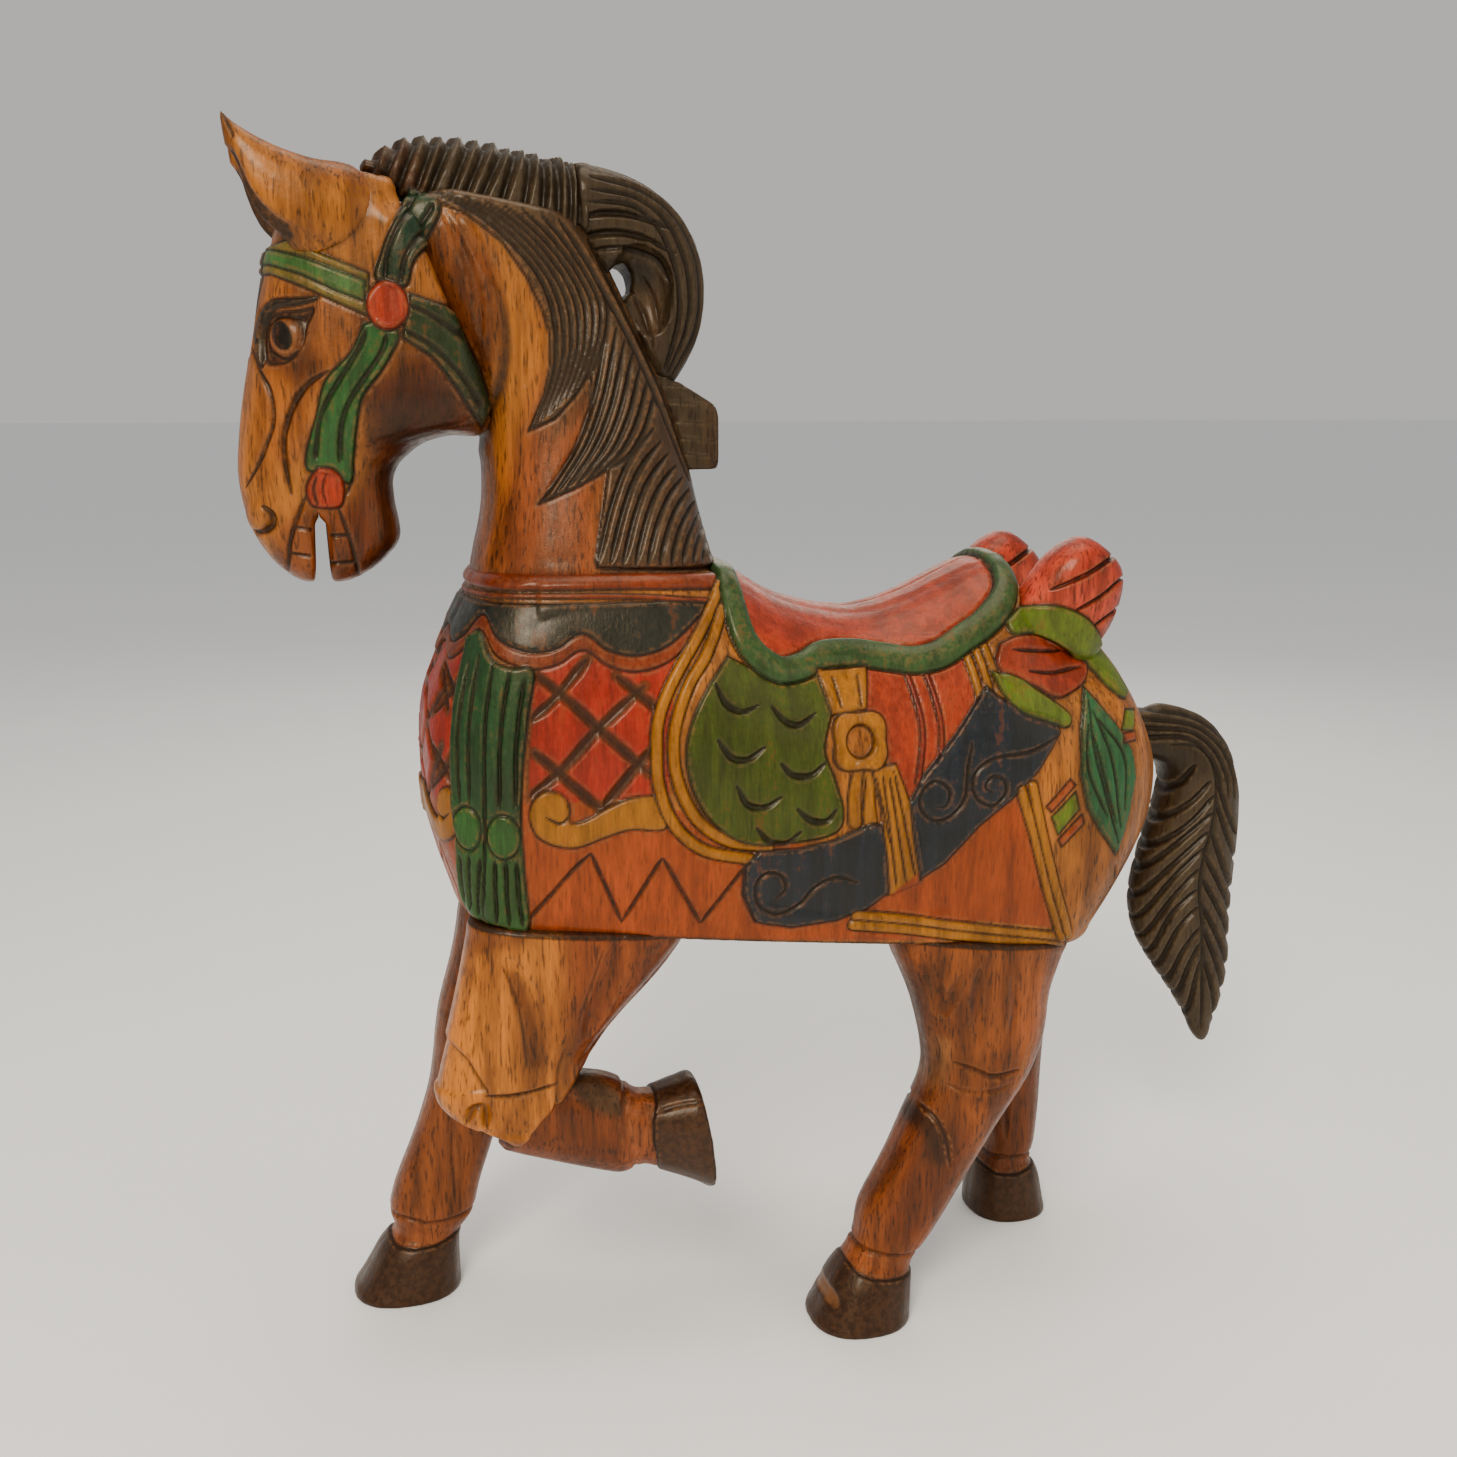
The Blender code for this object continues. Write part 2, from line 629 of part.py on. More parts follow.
RIGHT_ROLL_SHIFT = Vector((-5, 0, -4))    # the right one is carved a little lower
TAIL_POWERS = (2.2, 2.2)
ROLL_POWERS = (2.3, 2.3)
ROLL_DOWEL_AT = (160, 46, 458)            # x, distance from the centre plane, z
ROLL_DOWEL_AXIS = (0.1, 0, 1)


def make_tail(left, right):
    """The tail's round tenon sits in a blind hole in the rump."""
    tail = loft(TAIL_ROWS, BLOCK_SIDES, 2, TAIL_POWERS)
    add_object("tail", tail, "dark_hair")
    hole_bm = loft(TAIL_HOLE_ROWS, BLOCK_SIDES, 1, TAIL_POWERS)
    hole = make_cutter(add_object("tail_hole", hole_bm, "painted_wood"))
    cut_away(left, hole)
    cut_away(right, hole)


def make_rolls(left, right):
    """Upright ends of the blanket roll, one on each side behind the saddle."""
    seat = make_cutter(add_object("body_shape", body_loft(SEAT_GAP), "painted_wood"))
    for side, name, body in ((-1, "blanket_roll_left", left),
                             (1, "blanket_roll_right", right)):
        bm = loft(mirrored_rows(ROLL_ROWS, side), BLOCK_SIDES, 2, ROLL_POWERS)
        if side > 0:
            bmesh.ops.translate(bm, vec=RIGHT_ROLL_SHIFT * MM, verts=bm.verts)
        roll = add_object(name, bm, "red_paint")
        cut_away(roll, seat)
        x, away, z = ROLL_DOWEL_AT
        add_dowel(name + "_dowel", ROLL_DOWEL, (x, side * away, z), ROLL_DOWEL_AXIS,
                  roll, body)


clear_scene()
body_halves = make_body()
make_neck_and_head(*body_halves)
make_ears()
make_legs(*body_halves)
make_tail(*body_halves)
make_rolls(*body_halves)
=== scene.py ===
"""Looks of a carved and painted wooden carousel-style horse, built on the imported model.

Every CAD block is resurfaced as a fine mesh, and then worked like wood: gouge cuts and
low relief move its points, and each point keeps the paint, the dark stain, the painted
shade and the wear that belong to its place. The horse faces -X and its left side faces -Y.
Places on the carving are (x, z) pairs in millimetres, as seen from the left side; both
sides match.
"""
from math import radians

import bmesh
import bpy
import numpy as np
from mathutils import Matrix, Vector
from mathutils.bvhtree import BVHTree


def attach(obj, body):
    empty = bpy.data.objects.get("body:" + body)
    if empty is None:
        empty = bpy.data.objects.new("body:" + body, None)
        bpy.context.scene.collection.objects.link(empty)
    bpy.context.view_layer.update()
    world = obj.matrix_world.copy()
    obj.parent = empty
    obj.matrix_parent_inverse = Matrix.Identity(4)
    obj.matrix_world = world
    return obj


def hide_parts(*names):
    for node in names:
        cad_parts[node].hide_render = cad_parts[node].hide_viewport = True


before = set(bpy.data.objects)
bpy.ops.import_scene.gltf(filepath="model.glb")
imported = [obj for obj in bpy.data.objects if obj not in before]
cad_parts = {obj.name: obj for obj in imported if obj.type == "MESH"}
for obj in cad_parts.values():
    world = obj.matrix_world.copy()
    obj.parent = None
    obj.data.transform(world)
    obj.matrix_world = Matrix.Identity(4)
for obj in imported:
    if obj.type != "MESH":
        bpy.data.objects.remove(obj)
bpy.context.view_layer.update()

MM = 0.001
SHARP_ANGLE = radians(50)      # steeper edges of a block stay crisp
VARNISH_DEPTH = 1.42
VARNISH_SHADE = 0.66
GLAZE = 0.36                   # old brown glaze that stays around the cuts
OUTLINE_DARK = 0.85            # dark stain in the cut along an outline
PALE_EDGE = 0.55               # how far the paint is rubbed off along an outline
BAND_WEAR = 0.22               # wear on the top of a raised strip
JOINT_OVERLAP = 1.6            # how far the skins of glued blocks run into each other, mm
JOINT_NEAR, JOINT_FAR = 2.5, 3.5   # a skin this near its glued face is pushed, this far not
REACH_FADE = 1.06              # where the push has faded out, as a share of its reach
SMOOTHING = 6                  # rounds that even out a skin
NECK_SMOOTHING = 14            # the neck's facets would show with fewer
NORMAL_SMOOTHING = 4           # rounds that even out the directions of the cuts
SWELL_SHARE = 0.75             # how much of a facet's hollow is filled
SWELL_LIMIT = 2.0              # the most that a facet swells, mm
REGION_REACH = 12.0            # how far outside an outline its border can still fade, mm
FAR = 1e3                      # stands for "out of reach", mm
TINY = 1e-9                    # the length of a step between two equal points
GRAIN_AXIS = (1, 1, 0.12)      # the grain is drawn out along z
GRIME_AND_SHADE_STRENGTH = 0.9           # how dark the stain in the cuts and the painted shade get
RUB_STRENGTH = 0.6             # how pale the worn edges get
RIGHT_ROLL_SHIFT = (5, 4)            # how far the right roll sits forward and lower, mm


def srgb(red, green, blue):
    """A colour of everyday 0-255 values as linear ones, deepened as varnish does."""
    c = np.array((red, green, blue)) / 255
    linear = np.where(c <= 0.04045, c / 12.92, ((c + 0.055) / 1.055) ** 2.4)
    return linear ** VARNISH_DEPTH * VARNISH_SHADE


HONEY = srgb(184, 130, 60)
RED_BROWN = srgb(140, 84, 38)
PALE_GOLD = srgb(208, 146, 66)
LEG_BROWN = srgb(158, 100, 46)
ROLL_RED = srgb(204, 98, 76)
DARK_HAIR = srgb(92, 80, 64)


# ------------------------------------------------------------------ curves and regions

def bend(points, per_span=8):
    """A smooth curve through the given points, as a dense row of points."""
    p = np.array(points, float)
    if len(p) < 3:
        return np.linspace(p[0], p[-1], per_span + 1)
    p = np.vstack((2 * p[0] - p[1], p, 2 * p[-1] - p[-2]))
    t = np.linspace(0, 1, per_span, endpoint=False)[:, None]
    spans = [
        0.5 * (2 * b + (c - a) * t + (2 * a - 5 * b + 4 * c - d) * t ** 2
               + (3 * b - a - 3 * c + d) * t ** 3)
        for a, b, c, d in zip(p, p[1:], p[2:], p[3:])
    ]
    return np.vstack(spans + [p[-2:-1]])


def oval(x, z, half_width, half_height, lean=0.0):
    """An outline of 18 points; lean pushes its top along x."""
    turn = np.linspace(0, 2 * np.pi, 18, endpoint=False)
    along, up = half_width * np.cos(turn), half_height * np.sin(turn)
    return np.column_stack((x + along + lean * up, z + up))


def follow(line, points):
    """Each point's distance from the line, and how far along it that is, 0 to 1."""
    best = np.full(len(points), np.inf)
    place = np.zeros(len(points))
    run = 0.0
    for start, end in zip(line, line[1:]):
        step = end - start
        length = float(np.hypot(*step)) or TINY
        t = np.clip((points - start) @ step / length ** 2, 0, 1)
        gap = np.hypot(*(points - start - t[:, None] * step).T)
        closer = gap < best
        best[closer] = gap[closer]
        place[closer] = run + t[closer] * length
        run += length
    return best, place / run


def depth_inside(outline, points):
    """How deep each point lies inside a closed outline; negative outside it."""
    closed = np.vstack((outline, outline[:1]))
    gap, _ = follow(closed, points)
    inside = np.zeros(len(points), bool)
    for (x1, z1), (x2, z2) in zip(closed, closed[1:]):
        spans = (z1 > points[:, 1]) != (z2 > points[:, 1])
        if z1 != z2:
            crossing = x1 + (points[:, 1] - z1) * (x2 - x1) / (z2 - z1)
            inside ^= spans & (points[:, 0] < crossing)
    return np.where(inside, gap, -gap)


def ramp(value, low, high):
    """0 at low, 1 at high, a smooth step between, and level beyond either end."""
    t = np.clip((value - low) / (high - low), 0, 1)
    return t * t * (3 - 2 * t)


def pointed(place, taper, least):
    """The width along a line as a share: `least` at both ends, 1 beyond the taper."""
    if not taper:
        return np.ones(len(place))
    ends = np.clip(np.minimum(place, 1 - place) / taper, 0, 1)
    return least + (1 - least) * np.sqrt(ends)


def shifted(line, by):
    """The same line, moved along x."""
    return [(x + by, z) for x, z in line]


# ------------------------------------------------------------------------ the carving

class Carving:
    """A fine skin over one CAD block, with the carver's cuts and the painter's colours."""

    def __init__(self, node, spacing, wood, smoothing, joints):
        self.name = node
        spacing *= 1.0
        cad = bpy.data.meshes.new(node + "_cad")
        bm = bmesh.new()
        bm.from_mesh(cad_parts[node].data)
        bmesh.ops.remove_doubles(bm, verts=bm.verts[:], dist=1e-6)
        bmesh.ops.triangulate(bm, faces=bm.faces[:])
        bm.to_mesh(cad)
        bm.free()
        self.mesh = skin(cad, spacing * MM, node)
        points = read(self.mesh.vertices, "co")
        points = round_facets(cad, points)
        pairs = read(self.mesh.edges, "vertices", 2, int)
        self.points = relax(points, pairs, smoothing)
        self.mesh.vertices.foreach_set("co", self.points.ravel())
        for joint in joints:
            self.close_joint(*joint)
        self.mesh.vertices.foreach_set("co", self.points.ravel())
        self.mesh.update()
        self.normals = relax(read(self.mesh.vertices, "normal"), pairs, NORMAL_SMOOTHING)
        self.normals /= np.linalg.norm(self.normals, axis=1)[:, None]
        count = len(points)
        self.x, self.y, self.z = (self.points / MM).T
        self.across = np.abs(self.y)
        self.side = np.column_stack((self.x, self.z))
        self.facing = ramp(np.abs(self.normals[:, 1]), 0.10, 0.35)
        self.paint = np.tile(wood, (count, 1))
        self.cover = np.zeros(count)      # 1 where paint hides the wood
        self.rise = np.zeros(count)       # low relief, outward
        self.cut = np.zeros(count)        # depth of gouge cuts
        self.dark = np.zeros(count)       # dark stain left in the cuts, and painted shade
        self.worn = np.zeros(count)       # edges rubbed pale

    def close_joint(self, place, normal, reach=1000):
        """Push the rounded border of a glued face into the block next to it."""
        normal = np.array(normal, float)
        away = self.points / MM - place
        facing = read(self.mesh.vertices, "normal") @ normal
        height = np.abs(away @ normal)
        distance = np.linalg.norm(away, axis=1)
        push = ramp(facing, 0.15, 0.5) * (1 - ramp(height, JOINT_NEAR, JOINT_FAR))
        push = push * (1 - ramp(distance, reach, REACH_FADE * reach))
        self.points += normal * (push * JOINT_OVERLAP * MM)[:, None]

    def flare(self, neighbour, reach, amount):
        """Spread the foot of this block where it meets its neighbour, like a fillet, and paint
        shade into the crease along the joint.
        """
        bm = bmesh.new()
        bm.from_mesh(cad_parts[neighbour].data)
        tree = BVHTree.FromBMesh(bm)
        bm.free()
        gap = np.array([tree.find_nearest(p)[3] for p in self.points]) / MM
        self.rise += amount * np.clip(1 - gap / reach, 0, 1) ** 2
        # Painted shade in the crease where the two blocks meet
        self.stain_and_shade(0.45 * ramp(gap, 5, 0))

    def near(self, line, reach):
        """The points within reach of a line's box, and their places in the side view."""
        low, high = line.min(0) - reach, line.max(0) + reach
        chosen = np.flatnonzero(((self.side > low) & (self.side < high)).all(1))
        return chosen, self.side[chosen]

    def groove(self, points, width=3.0, depth=1.4, taper=0.25, dark=0.85, facing=True,
               straight=False, rim=0.3):
        """One gouge cut that starts and ends in a point, unless taper is 0."""
        line = np.array(points, float) if straight else bend(points)
        chosen, places = self.near(line, 2 * width)
        if not len(chosen):
            return
        gap, place = follow(line, places)
        swell = pointed(place, taper, 0.25)
        seen = self.facing[chosen] if facing else 1.0
        profile = np.clip(1 - gap / (width / 2 * swell), 0, 1)
        profile = profile * (1.6 - 0.6 * profile)
        self.gouge(depth * swell * profile * seen, chosen)
        halo = GLAZE * dark * np.exp(-(gap / width) ** 2) * swell
        self.stain_and_shade(np.maximum(dark * profile, halo) * seen, chosen)
        edge = np.exp(-((gap - width / 2 * swell) / 0.9) ** 2) * swell * seen
        self.rub(rim * edge, chosen)

    def grooves(self, lines, **cut):
        """Several gouge cuts of one kind."""
        for line in lines:
            self.groove(line, **cut)

    def strands(self, first, last, count, **cut):
        """A family of cuts that swings from one line over to another."""
        first, last = bend(first), bend(last)
        if len(first) != len(last):
            raise ValueError("both guide lines need the same number of points")
        for t in np.arange(count) / (count - 1):
            self.groove(first * (1 - t) + last * t, straight=True, **cut)

    def region(self, outline, smooth=True):
        """How deep every point lies inside an outline drawn on the surface."""
        outline = np.array(outline, float)
        if smooth:
            outline = bend(np.vstack((outline, outline[:1])), 6)[:-1]
        inside = np.full(len(self.side), -FAR)
        chosen, places = self.near(outline, REGION_REACH)
        if len(chosen):
            inside[chosen] = depth_inside(outline, places)
        return inside

    def distance(self, points, reach):
        """Every point's distance from a line; beyond its reach just a large number."""
        line = bend(points)
        gap = np.full(len(self.side), FAR)
        chosen, places = self.near(line, reach)
        gap[chosen] = follow(line, places)[0]
        return gap

    def shade(self, amount, colour):
        """Turn the colour underneath towards another one."""
        share = amount[:, None]
        self.paint = self.paint * (1 - share) + np.asarray(colour) * share

    def colour(self, amount, colour, cover=1.0):
        """Lay one coat of paint where amount is 1."""
        self.shade(amount, colour)
        self.cover = self.cover * (1 - amount) + cover * amount

    def panel(self, outline, colour=None, lift=0.0, edge=1.6, smooth=True, outlined=0.0,
              cover=1.0, facing=False):
        """A painted shape, raised or sunk, with an optional cut along its outline."""
        inside = self.region(outline, smooth)
        seen = self.facing if facing else 1.0
        self.rise += lift * ramp(inside, -edge, edge) * seen
        if colour is not None:
            self.clear(ramp(inside, -0.5, 1.0) * seen)
            self.colour(ramp(inside, -0.5, 0.5) * seen, colour, cover)
        if outlined:
            self.outline(inside, outlined)
        return inside

    def clear(self, amount):
        """Fill the older cuts and wear where a new layer covers them."""
        self.cut *= 1 - amount
        self.dark *= 1 - amount
        self.worn *= 1 - amount

    def tint(self, outline, colour, amount=1.0, soft=8.0):
        """Shade a region towards a colour, fading out over a soft border."""
        self.shade(amount * ramp(self.region(outline), -soft, soft), colour)

    def gouge(self, depth, chosen=slice(None)):
        """Cut all or some points at least this deep."""
        self.cut[chosen] = np.maximum(self.cut[chosen], depth)

    def stain_and_shade(self, amount, chosen=slice(None)):
        """Leave at least this much darkness: dark stain in the cuts, and painted shade in
        hollows, creases and under overhangs.
        """
        self.dark[chosen] = np.maximum(self.dark[chosen], amount)

    def rub(self, amount, chosen=slice(None)):
        """Wear the surface at least this much."""
        self.worn[chosen] = np.maximum(self.worn[chosen], amount)

    def below(self, start, end):
        """How far every point lies under a straight line of the side view."""
        slope = (end[1] - start[1]) / (end[0] - start[0])
        return start[1] + slope * (self.x - start[0]) - self.z

    def flute(self, pitch, depth, where, dark=0.7):
        """Even parallel cuts along the piece, one at every `pitch` across it."""
        wave = np.abs(np.cos(np.pi * self.y / pitch)) ** 6 * where
        self.gouge(depth * wave)
        self.stain_and_shade(dark * wave)

    def outline(self, inside, depth, width=3.2):
        """A cut that follows the border of a region."""
        profile = np.clip(1 - np.abs(inside) / (width / 2), 0, 1)
        halo = GLAZE * OUTLINE_DARK * np.exp(-(inside / 4.5) ** 2)
        self.gouge(depth * profile)
        self.stain_and_shade(np.maximum(OUTLINE_DARK * profile, halo))
        self.rub(PALE_EDGE * np.exp(-((np.abs(inside) - 0.6 * width) / 0.8) ** 2))

    def band(self, points, width, colour, lift, outlined=0.5, facing=False, taper=0.0,
             level=False):
        """A raised painted strip that follows a line; level planes off what lies below."""
        line = bend(points)
        chosen, places = self.near(line, width)
        gap, place = follow(line, places)
        half = width / 2 * pointed(place, taper, 0.2)
        seen = self.facing[chosen] if facing else 1.0
        if level:
            self.rise[chosen] *= 1 - ramp(half - gap, -1.0, 1.0) * seen
        self.rise[chosen] += lift * np.sqrt(np.clip(1 - (gap / half) ** 2, 0, 1)) * seen
        amount = np.zeros(len(self.x))
        amount[chosen] = ramp(half - gap, -0.4, 0.4) * seen
        self.clear(amount)
        self.colour(amount, colour)
        profile = np.clip(1 - np.abs(gap - half) / 1.5, 0, 1) * seen
        self.gouge(outlined * profile, chosen)
        self.stain_and_shade(0.8 * profile, chosen)
        self.rub(PALE_EDGE * np.exp(-((gap - half - 1.6) / 0.8) ** 2) * seen, chosen)
        self.rub(BAND_WEAR * np.clip(1 - gap / half * 1.6, 0, 1) * seen, chosen)

    def finish(self, material, slot):
        """Move the points, write the colours, and put the piece in the CAD node's place."""
        moved = self.points + self.normals * ((self.rise - self.cut) * MM)[:, None]
        moved[:, 2] = np.maximum(moved[:, 2], 0.0)
        self.mesh.vertices.foreach_set("co", moved.ravel())
        write_colour(self.mesh, "paint", self.paint)
        # The finish colour holds dark (stain in the cuts and painted shade), worn and cover
        levels = np.column_stack((self.dark, self.worn, self.cover))
        write_colour(self.mesh, "finish", np.clip(levels, 0, 1))
        self.mesh.materials.clear()
        self.mesh.materials.append(material)
        self.mesh.shade_smooth()
        self.mesh.update()
        piece = bpy.data.objects.new(self.name + "_carved", self.mesh)
        bpy.context.scene.collection.objects.link(piece)
        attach(piece, "root")
        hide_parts(self.name)


def read(items, key, width=3, kind=float):
    """One property of all vertices, edges or loops, as rows of the given width."""
    values = np.zeros(len(items) * width, kind)
    items.foreach_get(key, values)
    return values.reshape(-1, width)


def write_colour(mesh, name, values):
    """Keep three values at every point, as a colour that the materials read."""
    layer = mesh.color_attributes.new(name=name, type="FLOAT_COLOR", domain="POINT")
    layer.data.foreach_set("color", np.column_stack((values, np.ones(len(values)))).ravel())


def skin(cad, spacing, name):
    """An even mesh over the block, with a point about every `spacing`."""
    holder = bpy.data.objects.new(name + "_skin", cad)
    bpy.context.scene.collection.objects.link(holder)
    remesh = holder.modifiers.new("skin", "REMESH")
    remesh.mode = "VOXEL"
    remesh.voxel_size = spacing
    even = holder.evaluated_get(bpy.context.evaluated_depsgraph_get())
    mesh = bpy.data.meshes.new_from_object(even)
    bpy.data.objects.remove(holder, do_unlink=True)
    return mesh


def round_facets(cad, points):
    """Swell the block's flat facets into the smooth curve that they stand for."""
    cad.shade_smooth()
    cad.set_sharp_from_angle(angle=SHARP_ANGLE)
    corners = read(cad.corner_normals, "vector").reshape(-1, 3, 3)
    places = read(cad.vertices, "co")
    loops = read(cad.loops, "vertex_index", 1, int).reshape(-1, 3)
    tree = BVHTree.FromPolygons(places.tolist(), loops.tolist())
    hits = [tree.find_nearest(p) for p in points]
    spot = np.array([hit[0] for hit in hits])
    face = np.array([hit[2] for hit in hits])
    a, b, c = (places[loops[face, k]] for k in range(3))
    whole = np.cross(b - a, c - a)
    area = np.maximum((whole ** 2).sum(1), 1e-20)
    share_b = (np.cross(spot - a, c - a) * whole).sum(1) / area
    share_c = (np.cross(b - a, spot - a) * whole).sum(1) / area
    shares = np.column_stack((1 - share_b - share_c, share_b, share_c))
    push = np.zeros_like(points)
    for k, corner in enumerate((a, b, c)):
        normal = corners[face, k]
        lift = ((corner - spot) * normal).sum(1)
        push += (shares[:, k] * lift)[:, None] * normal
    push *= SWELL_SHARE
    size = np.maximum(np.linalg.norm(push, axis=1), 1e-12)
    return points + push * np.minimum(1, SWELL_LIMIT * MM / size)[:, None]


def relax(values, pairs, rounds):
    """Even out a value over neighbouring points."""
    count = len(values)
    degree = np.bincount(pairs.ravel(), minlength=count)[:, None]
    for _ in range(rounds):
        total = np.column_stack([
            np.bincount(pairs[:, 0], values[pairs[:, 1], k], count)
            + np.bincount(pairs[:, 1], values[pairs[:, 0], k], count)
            for k in range(values.shape[1])
        ])
        values = values * 0.5 + total / np.maximum(degree, 1) * 0.5
    return values


# ----------------------------------------------------------------------- the body

ORANGE = srgb(182, 97, 28)
PIPING = srgb(152, 76, 34)
GOLD = srgb(186, 134, 30)
OLIVE = srgb(96, 112, 34)
DARK_PANEL = srgb(58, 65, 62)
TASSEL = srgb(56, 104, 68)
TASSEL_LIGHT = srgb(68, 124, 66)
DIAMOND = srgb(186, 64, 36)
SEAT = srgb(190, 84, 52)
RIM = srgb(78, 114, 72)
BLANKET = srgb(180, 82, 48)
SCABBARD = srgb(44, 64, 80)
LIME = srgb(124, 144, 42)
LEAF = srgb(56, 126, 88)

BARE_GROOVE = srgb(126, 78, 34)

BELLY = ((-216, 291), (167, 250))       # two places on the underside, as seen from the side
CHEST_HALF_WIDTH = 84
FRONT_SHIFT = -130                      # from the side's zigzag to the one across the front
DIAMOND_SHIFTS = (0, -92, -150)         # the diamonds of the side, and on round the chest
STRAP_MIDDLE = -211                     # the tassel strap's middle; both scrolls curl from it
COLLAR_TOP = 479
SCALLOPS = [(-322, 455), (-305, 453), (-290, 462), (-272, 454), (-254, 459), (-233, 472),
            (-212, 459), (-186, 452), (-164, 455), (-147, 462), (-134, 453), (-118, 449),
            (-100, 453), (-84, 464)]
GOLD_OUTER = [(-62, 484), (-77, 462), (-90, 444), (-100, 427), (-106, 410), (-107, 392),
              (-106, 374), (-101, 357), (-92, 343), (-77, 332), (-52, 326)]
GOLD_INNER = [(-62, 472), (-75, 448), (-86, 433), (-93, 417), (-97, 400), (-96, 381),
              (-90, 363), (-80, 348), (-63, 337), (-40, 333)]
RIM_LINE = [(-53, 497), (-54, 487), (-53, 470), (-50, 456), (-43, 445), (-29, 436),
            (-14, 437), (0, 442), (22, 442), (42, 439), (59, 437), (75, 440), (91, 449),
            (106, 458), (120, 470), (128, 482), (131, 497)]
RIBBON = [(118, 458), (132, 467), (152, 468), (172, 459), (190, 440), (203, 420),
          (208, 410), (203, 406), (190, 414), (178, 427), (158, 441), (138, 450), (122, 451)]


def carve_body(b):
    chest_wrap(b)
    carve_chest(b)
    carve_saddle(b)
    carve_flank(b)
    carve_rump(b)
    # Painted shadow on the underside of the body, below the belly line
    b.stain_and_shade(0.75 * ramp(b.below(*BELLY), -4, 1))


def chest_wrap(b):
    """Lay the side view's x round the chest, so that patterns run on across its front."""
    full = 1 - ramp(b.x, -170, -150)
    b.side = np.column_stack((b.x + full * (b.across - CHEST_HALF_WIDTH), b.z))
    b.facing = np.maximum(b.facing, full)


def carve_chest(b):
    b.panel([(-188, 288), (-46, 274), (96, 262), (96, 300), (-46, 340), (-100, 360),
             (-188, 372)], ORANGE, smooth=False, cover=0.8)
    b.panel([(-350, 290), (-248, 288), (-248, 365), (-350, 365)], ORANGE, smooth=False,
            cover=0.8)
    zigzag = [(-190, 294), (-146, 335), (-128, 291), (-104, 330), (-81, 287), (-50, 326)]
    for line in (zigzag, shifted(zigzag[:4], FRONT_SHIFT)):
        b.grooves(zip(line, line[1:]), width=4.2, depth=1.8, taper=0.15)

    # Quilted diamonds, cut by broad crossing gouges
    b.panel([(-186, 366), (-100, 366), (-96, 440), (-90, 470), (-186, 470)], DIAMOND,
            smooth=False)
    b.panel([(-340, 362), (-240, 366), (-240, 470), (-340, 470)], DIAMOND, smooth=False)
    for shift in DIAMOND_SHIFTS:
        for line in (((-185, 442), (-158, 425), (-140, 408), (-112, 381)),
                     ((-113, 432), (-140, 408), (-162, 385), (-183, 370)),
                     ((-145, 448), (-164, 429), (-183, 414)),
                     ((-129, 438), (-105, 417)),
                     ((-180, 396), (-162, 381), (-138, 359)),
                     ((-108, 397), (-123, 380), (-140, 360))):
            cut = shifted(line, shift)
            b.groove(cut, 8.8, 2.8, taper=0.2, dark=0.6, rim=0.35)
            b.colour(0.85 * ramp(b.distance(cut, 5), 4.2, 2.8), BARE_GROOVE)
    b.panel([(-186, 366), (-183, 366), (-181, 446), (-186, 446)], RED_BROWN, smooth=False)

    # Gold scroll under the diamonds
    for mirror in (lambda x: x, lambda x: 2 * STRAP_MIDDLE - x):
        b.panel([(mirror(x), z) for x, z in (
            (-106, 368), (-123, 367), (-138, 361), (-147, 356), (-157, 354), (-158, 364),
            (-163, 371), (-173, 373), (-181, 367), (-183, 357), (-178, 346), (-166, 340),
            (-153, 339), (-138, 344), (-123, 348), (-102, 348))], GOLD, lift=1.8,
            outlined=1.0)
        b.groove([(mirror(x), z) for x, z in (
            (-173, 358), (-164, 354), (-158, 359), (-160, 367))], 2.8, 1.6, taper=0.3)

    # Dark collar panel with its scalloped border
    band = bend(SCALLOPS, 6)
    top = [(-75, 471), (-71, COLLAR_TOP), (-340, COLLAR_TOP)]
    b.panel(np.vstack((band - (0, 9), top)), PIPING, lift=1.2, smooth=False, edge=1.0,
            outlined=1.2)
    b.panel(np.vstack((band, top)), DARK_PANEL, lift=0.8, smooth=False, edge=2.5,
            outlined=1.4)
    b.band([(-345, COLLAR_TOP + 2), (-200, COLLAR_TOP + 4), (-118, COLLAR_TOP + 3),
            (-70, COLLAR_TOP - 2)], 3.2, PIPING, 0.9)
    b.band([(-345, 489), (-200, 490), (-118, 490), (-56, 487)], 8.5, PIPING, 2.4)

    # Fluted tassel strap with two discs
    strap = [(-247, 458), (-247, 420), (-246, 380), (-243, 350), (-247, 322), (-250, 304),
             (-236, 295), (-210, 292), (-189, 290), (-188, 330), (-188, 368), (-184, 416),
             (-183, 442), (-200, 444), (-216, 449), (-232, 463)]
    b.panel(strap, TASSEL, lift=3.2, edge=1.8, outlined=1.4)
    low = b.region([(-250, 345), (-186, 345), (-186, 288), (-250, 288)], smooth=False)
    green = ramp(low, -14, 8) * ramp(b.region(strap), -0.5, 0.5)
    b.colour(green * 0.75, TASSEL_LIGHT)
    for line in (((-236, 446), (-238, 410), (-236, 366)), ((-226, 450), (-228, 415), (-227, 366)),
                 ((-212, 446), (-214, 410), (-215, 350), (-222, 296)),
                 ((-199, 441), (-202, 404), (-203, 364)), ((-188, 438), (-191, 404), (-192, 364)),
                 ((-239, 334), (-243, 304)), ((-230, 335), (-236, 300)),
                 ((-208, 333), (-211, 295)), ((-200, 333), (-202, 293)),
                 ((-193, 332), (-193, 293)), ((-220, 334), (-229, 298))):
        b.groove(line, 4.4, 2.6, taper=0.12, rim=0.12)
    for x, z in ((-230, 351), (-201, 347)):
        b.panel(oval(x, z, 12, 13), TASSEL_LIGHT, lift=0.8, outlined=1.8)

    # Two gold pipings beside the saddle panel
    for line in (GOLD_OUTER, GOLD_INNER):
        b.band(line, 7.5, GOLD, 2.2, outlined=1.6)


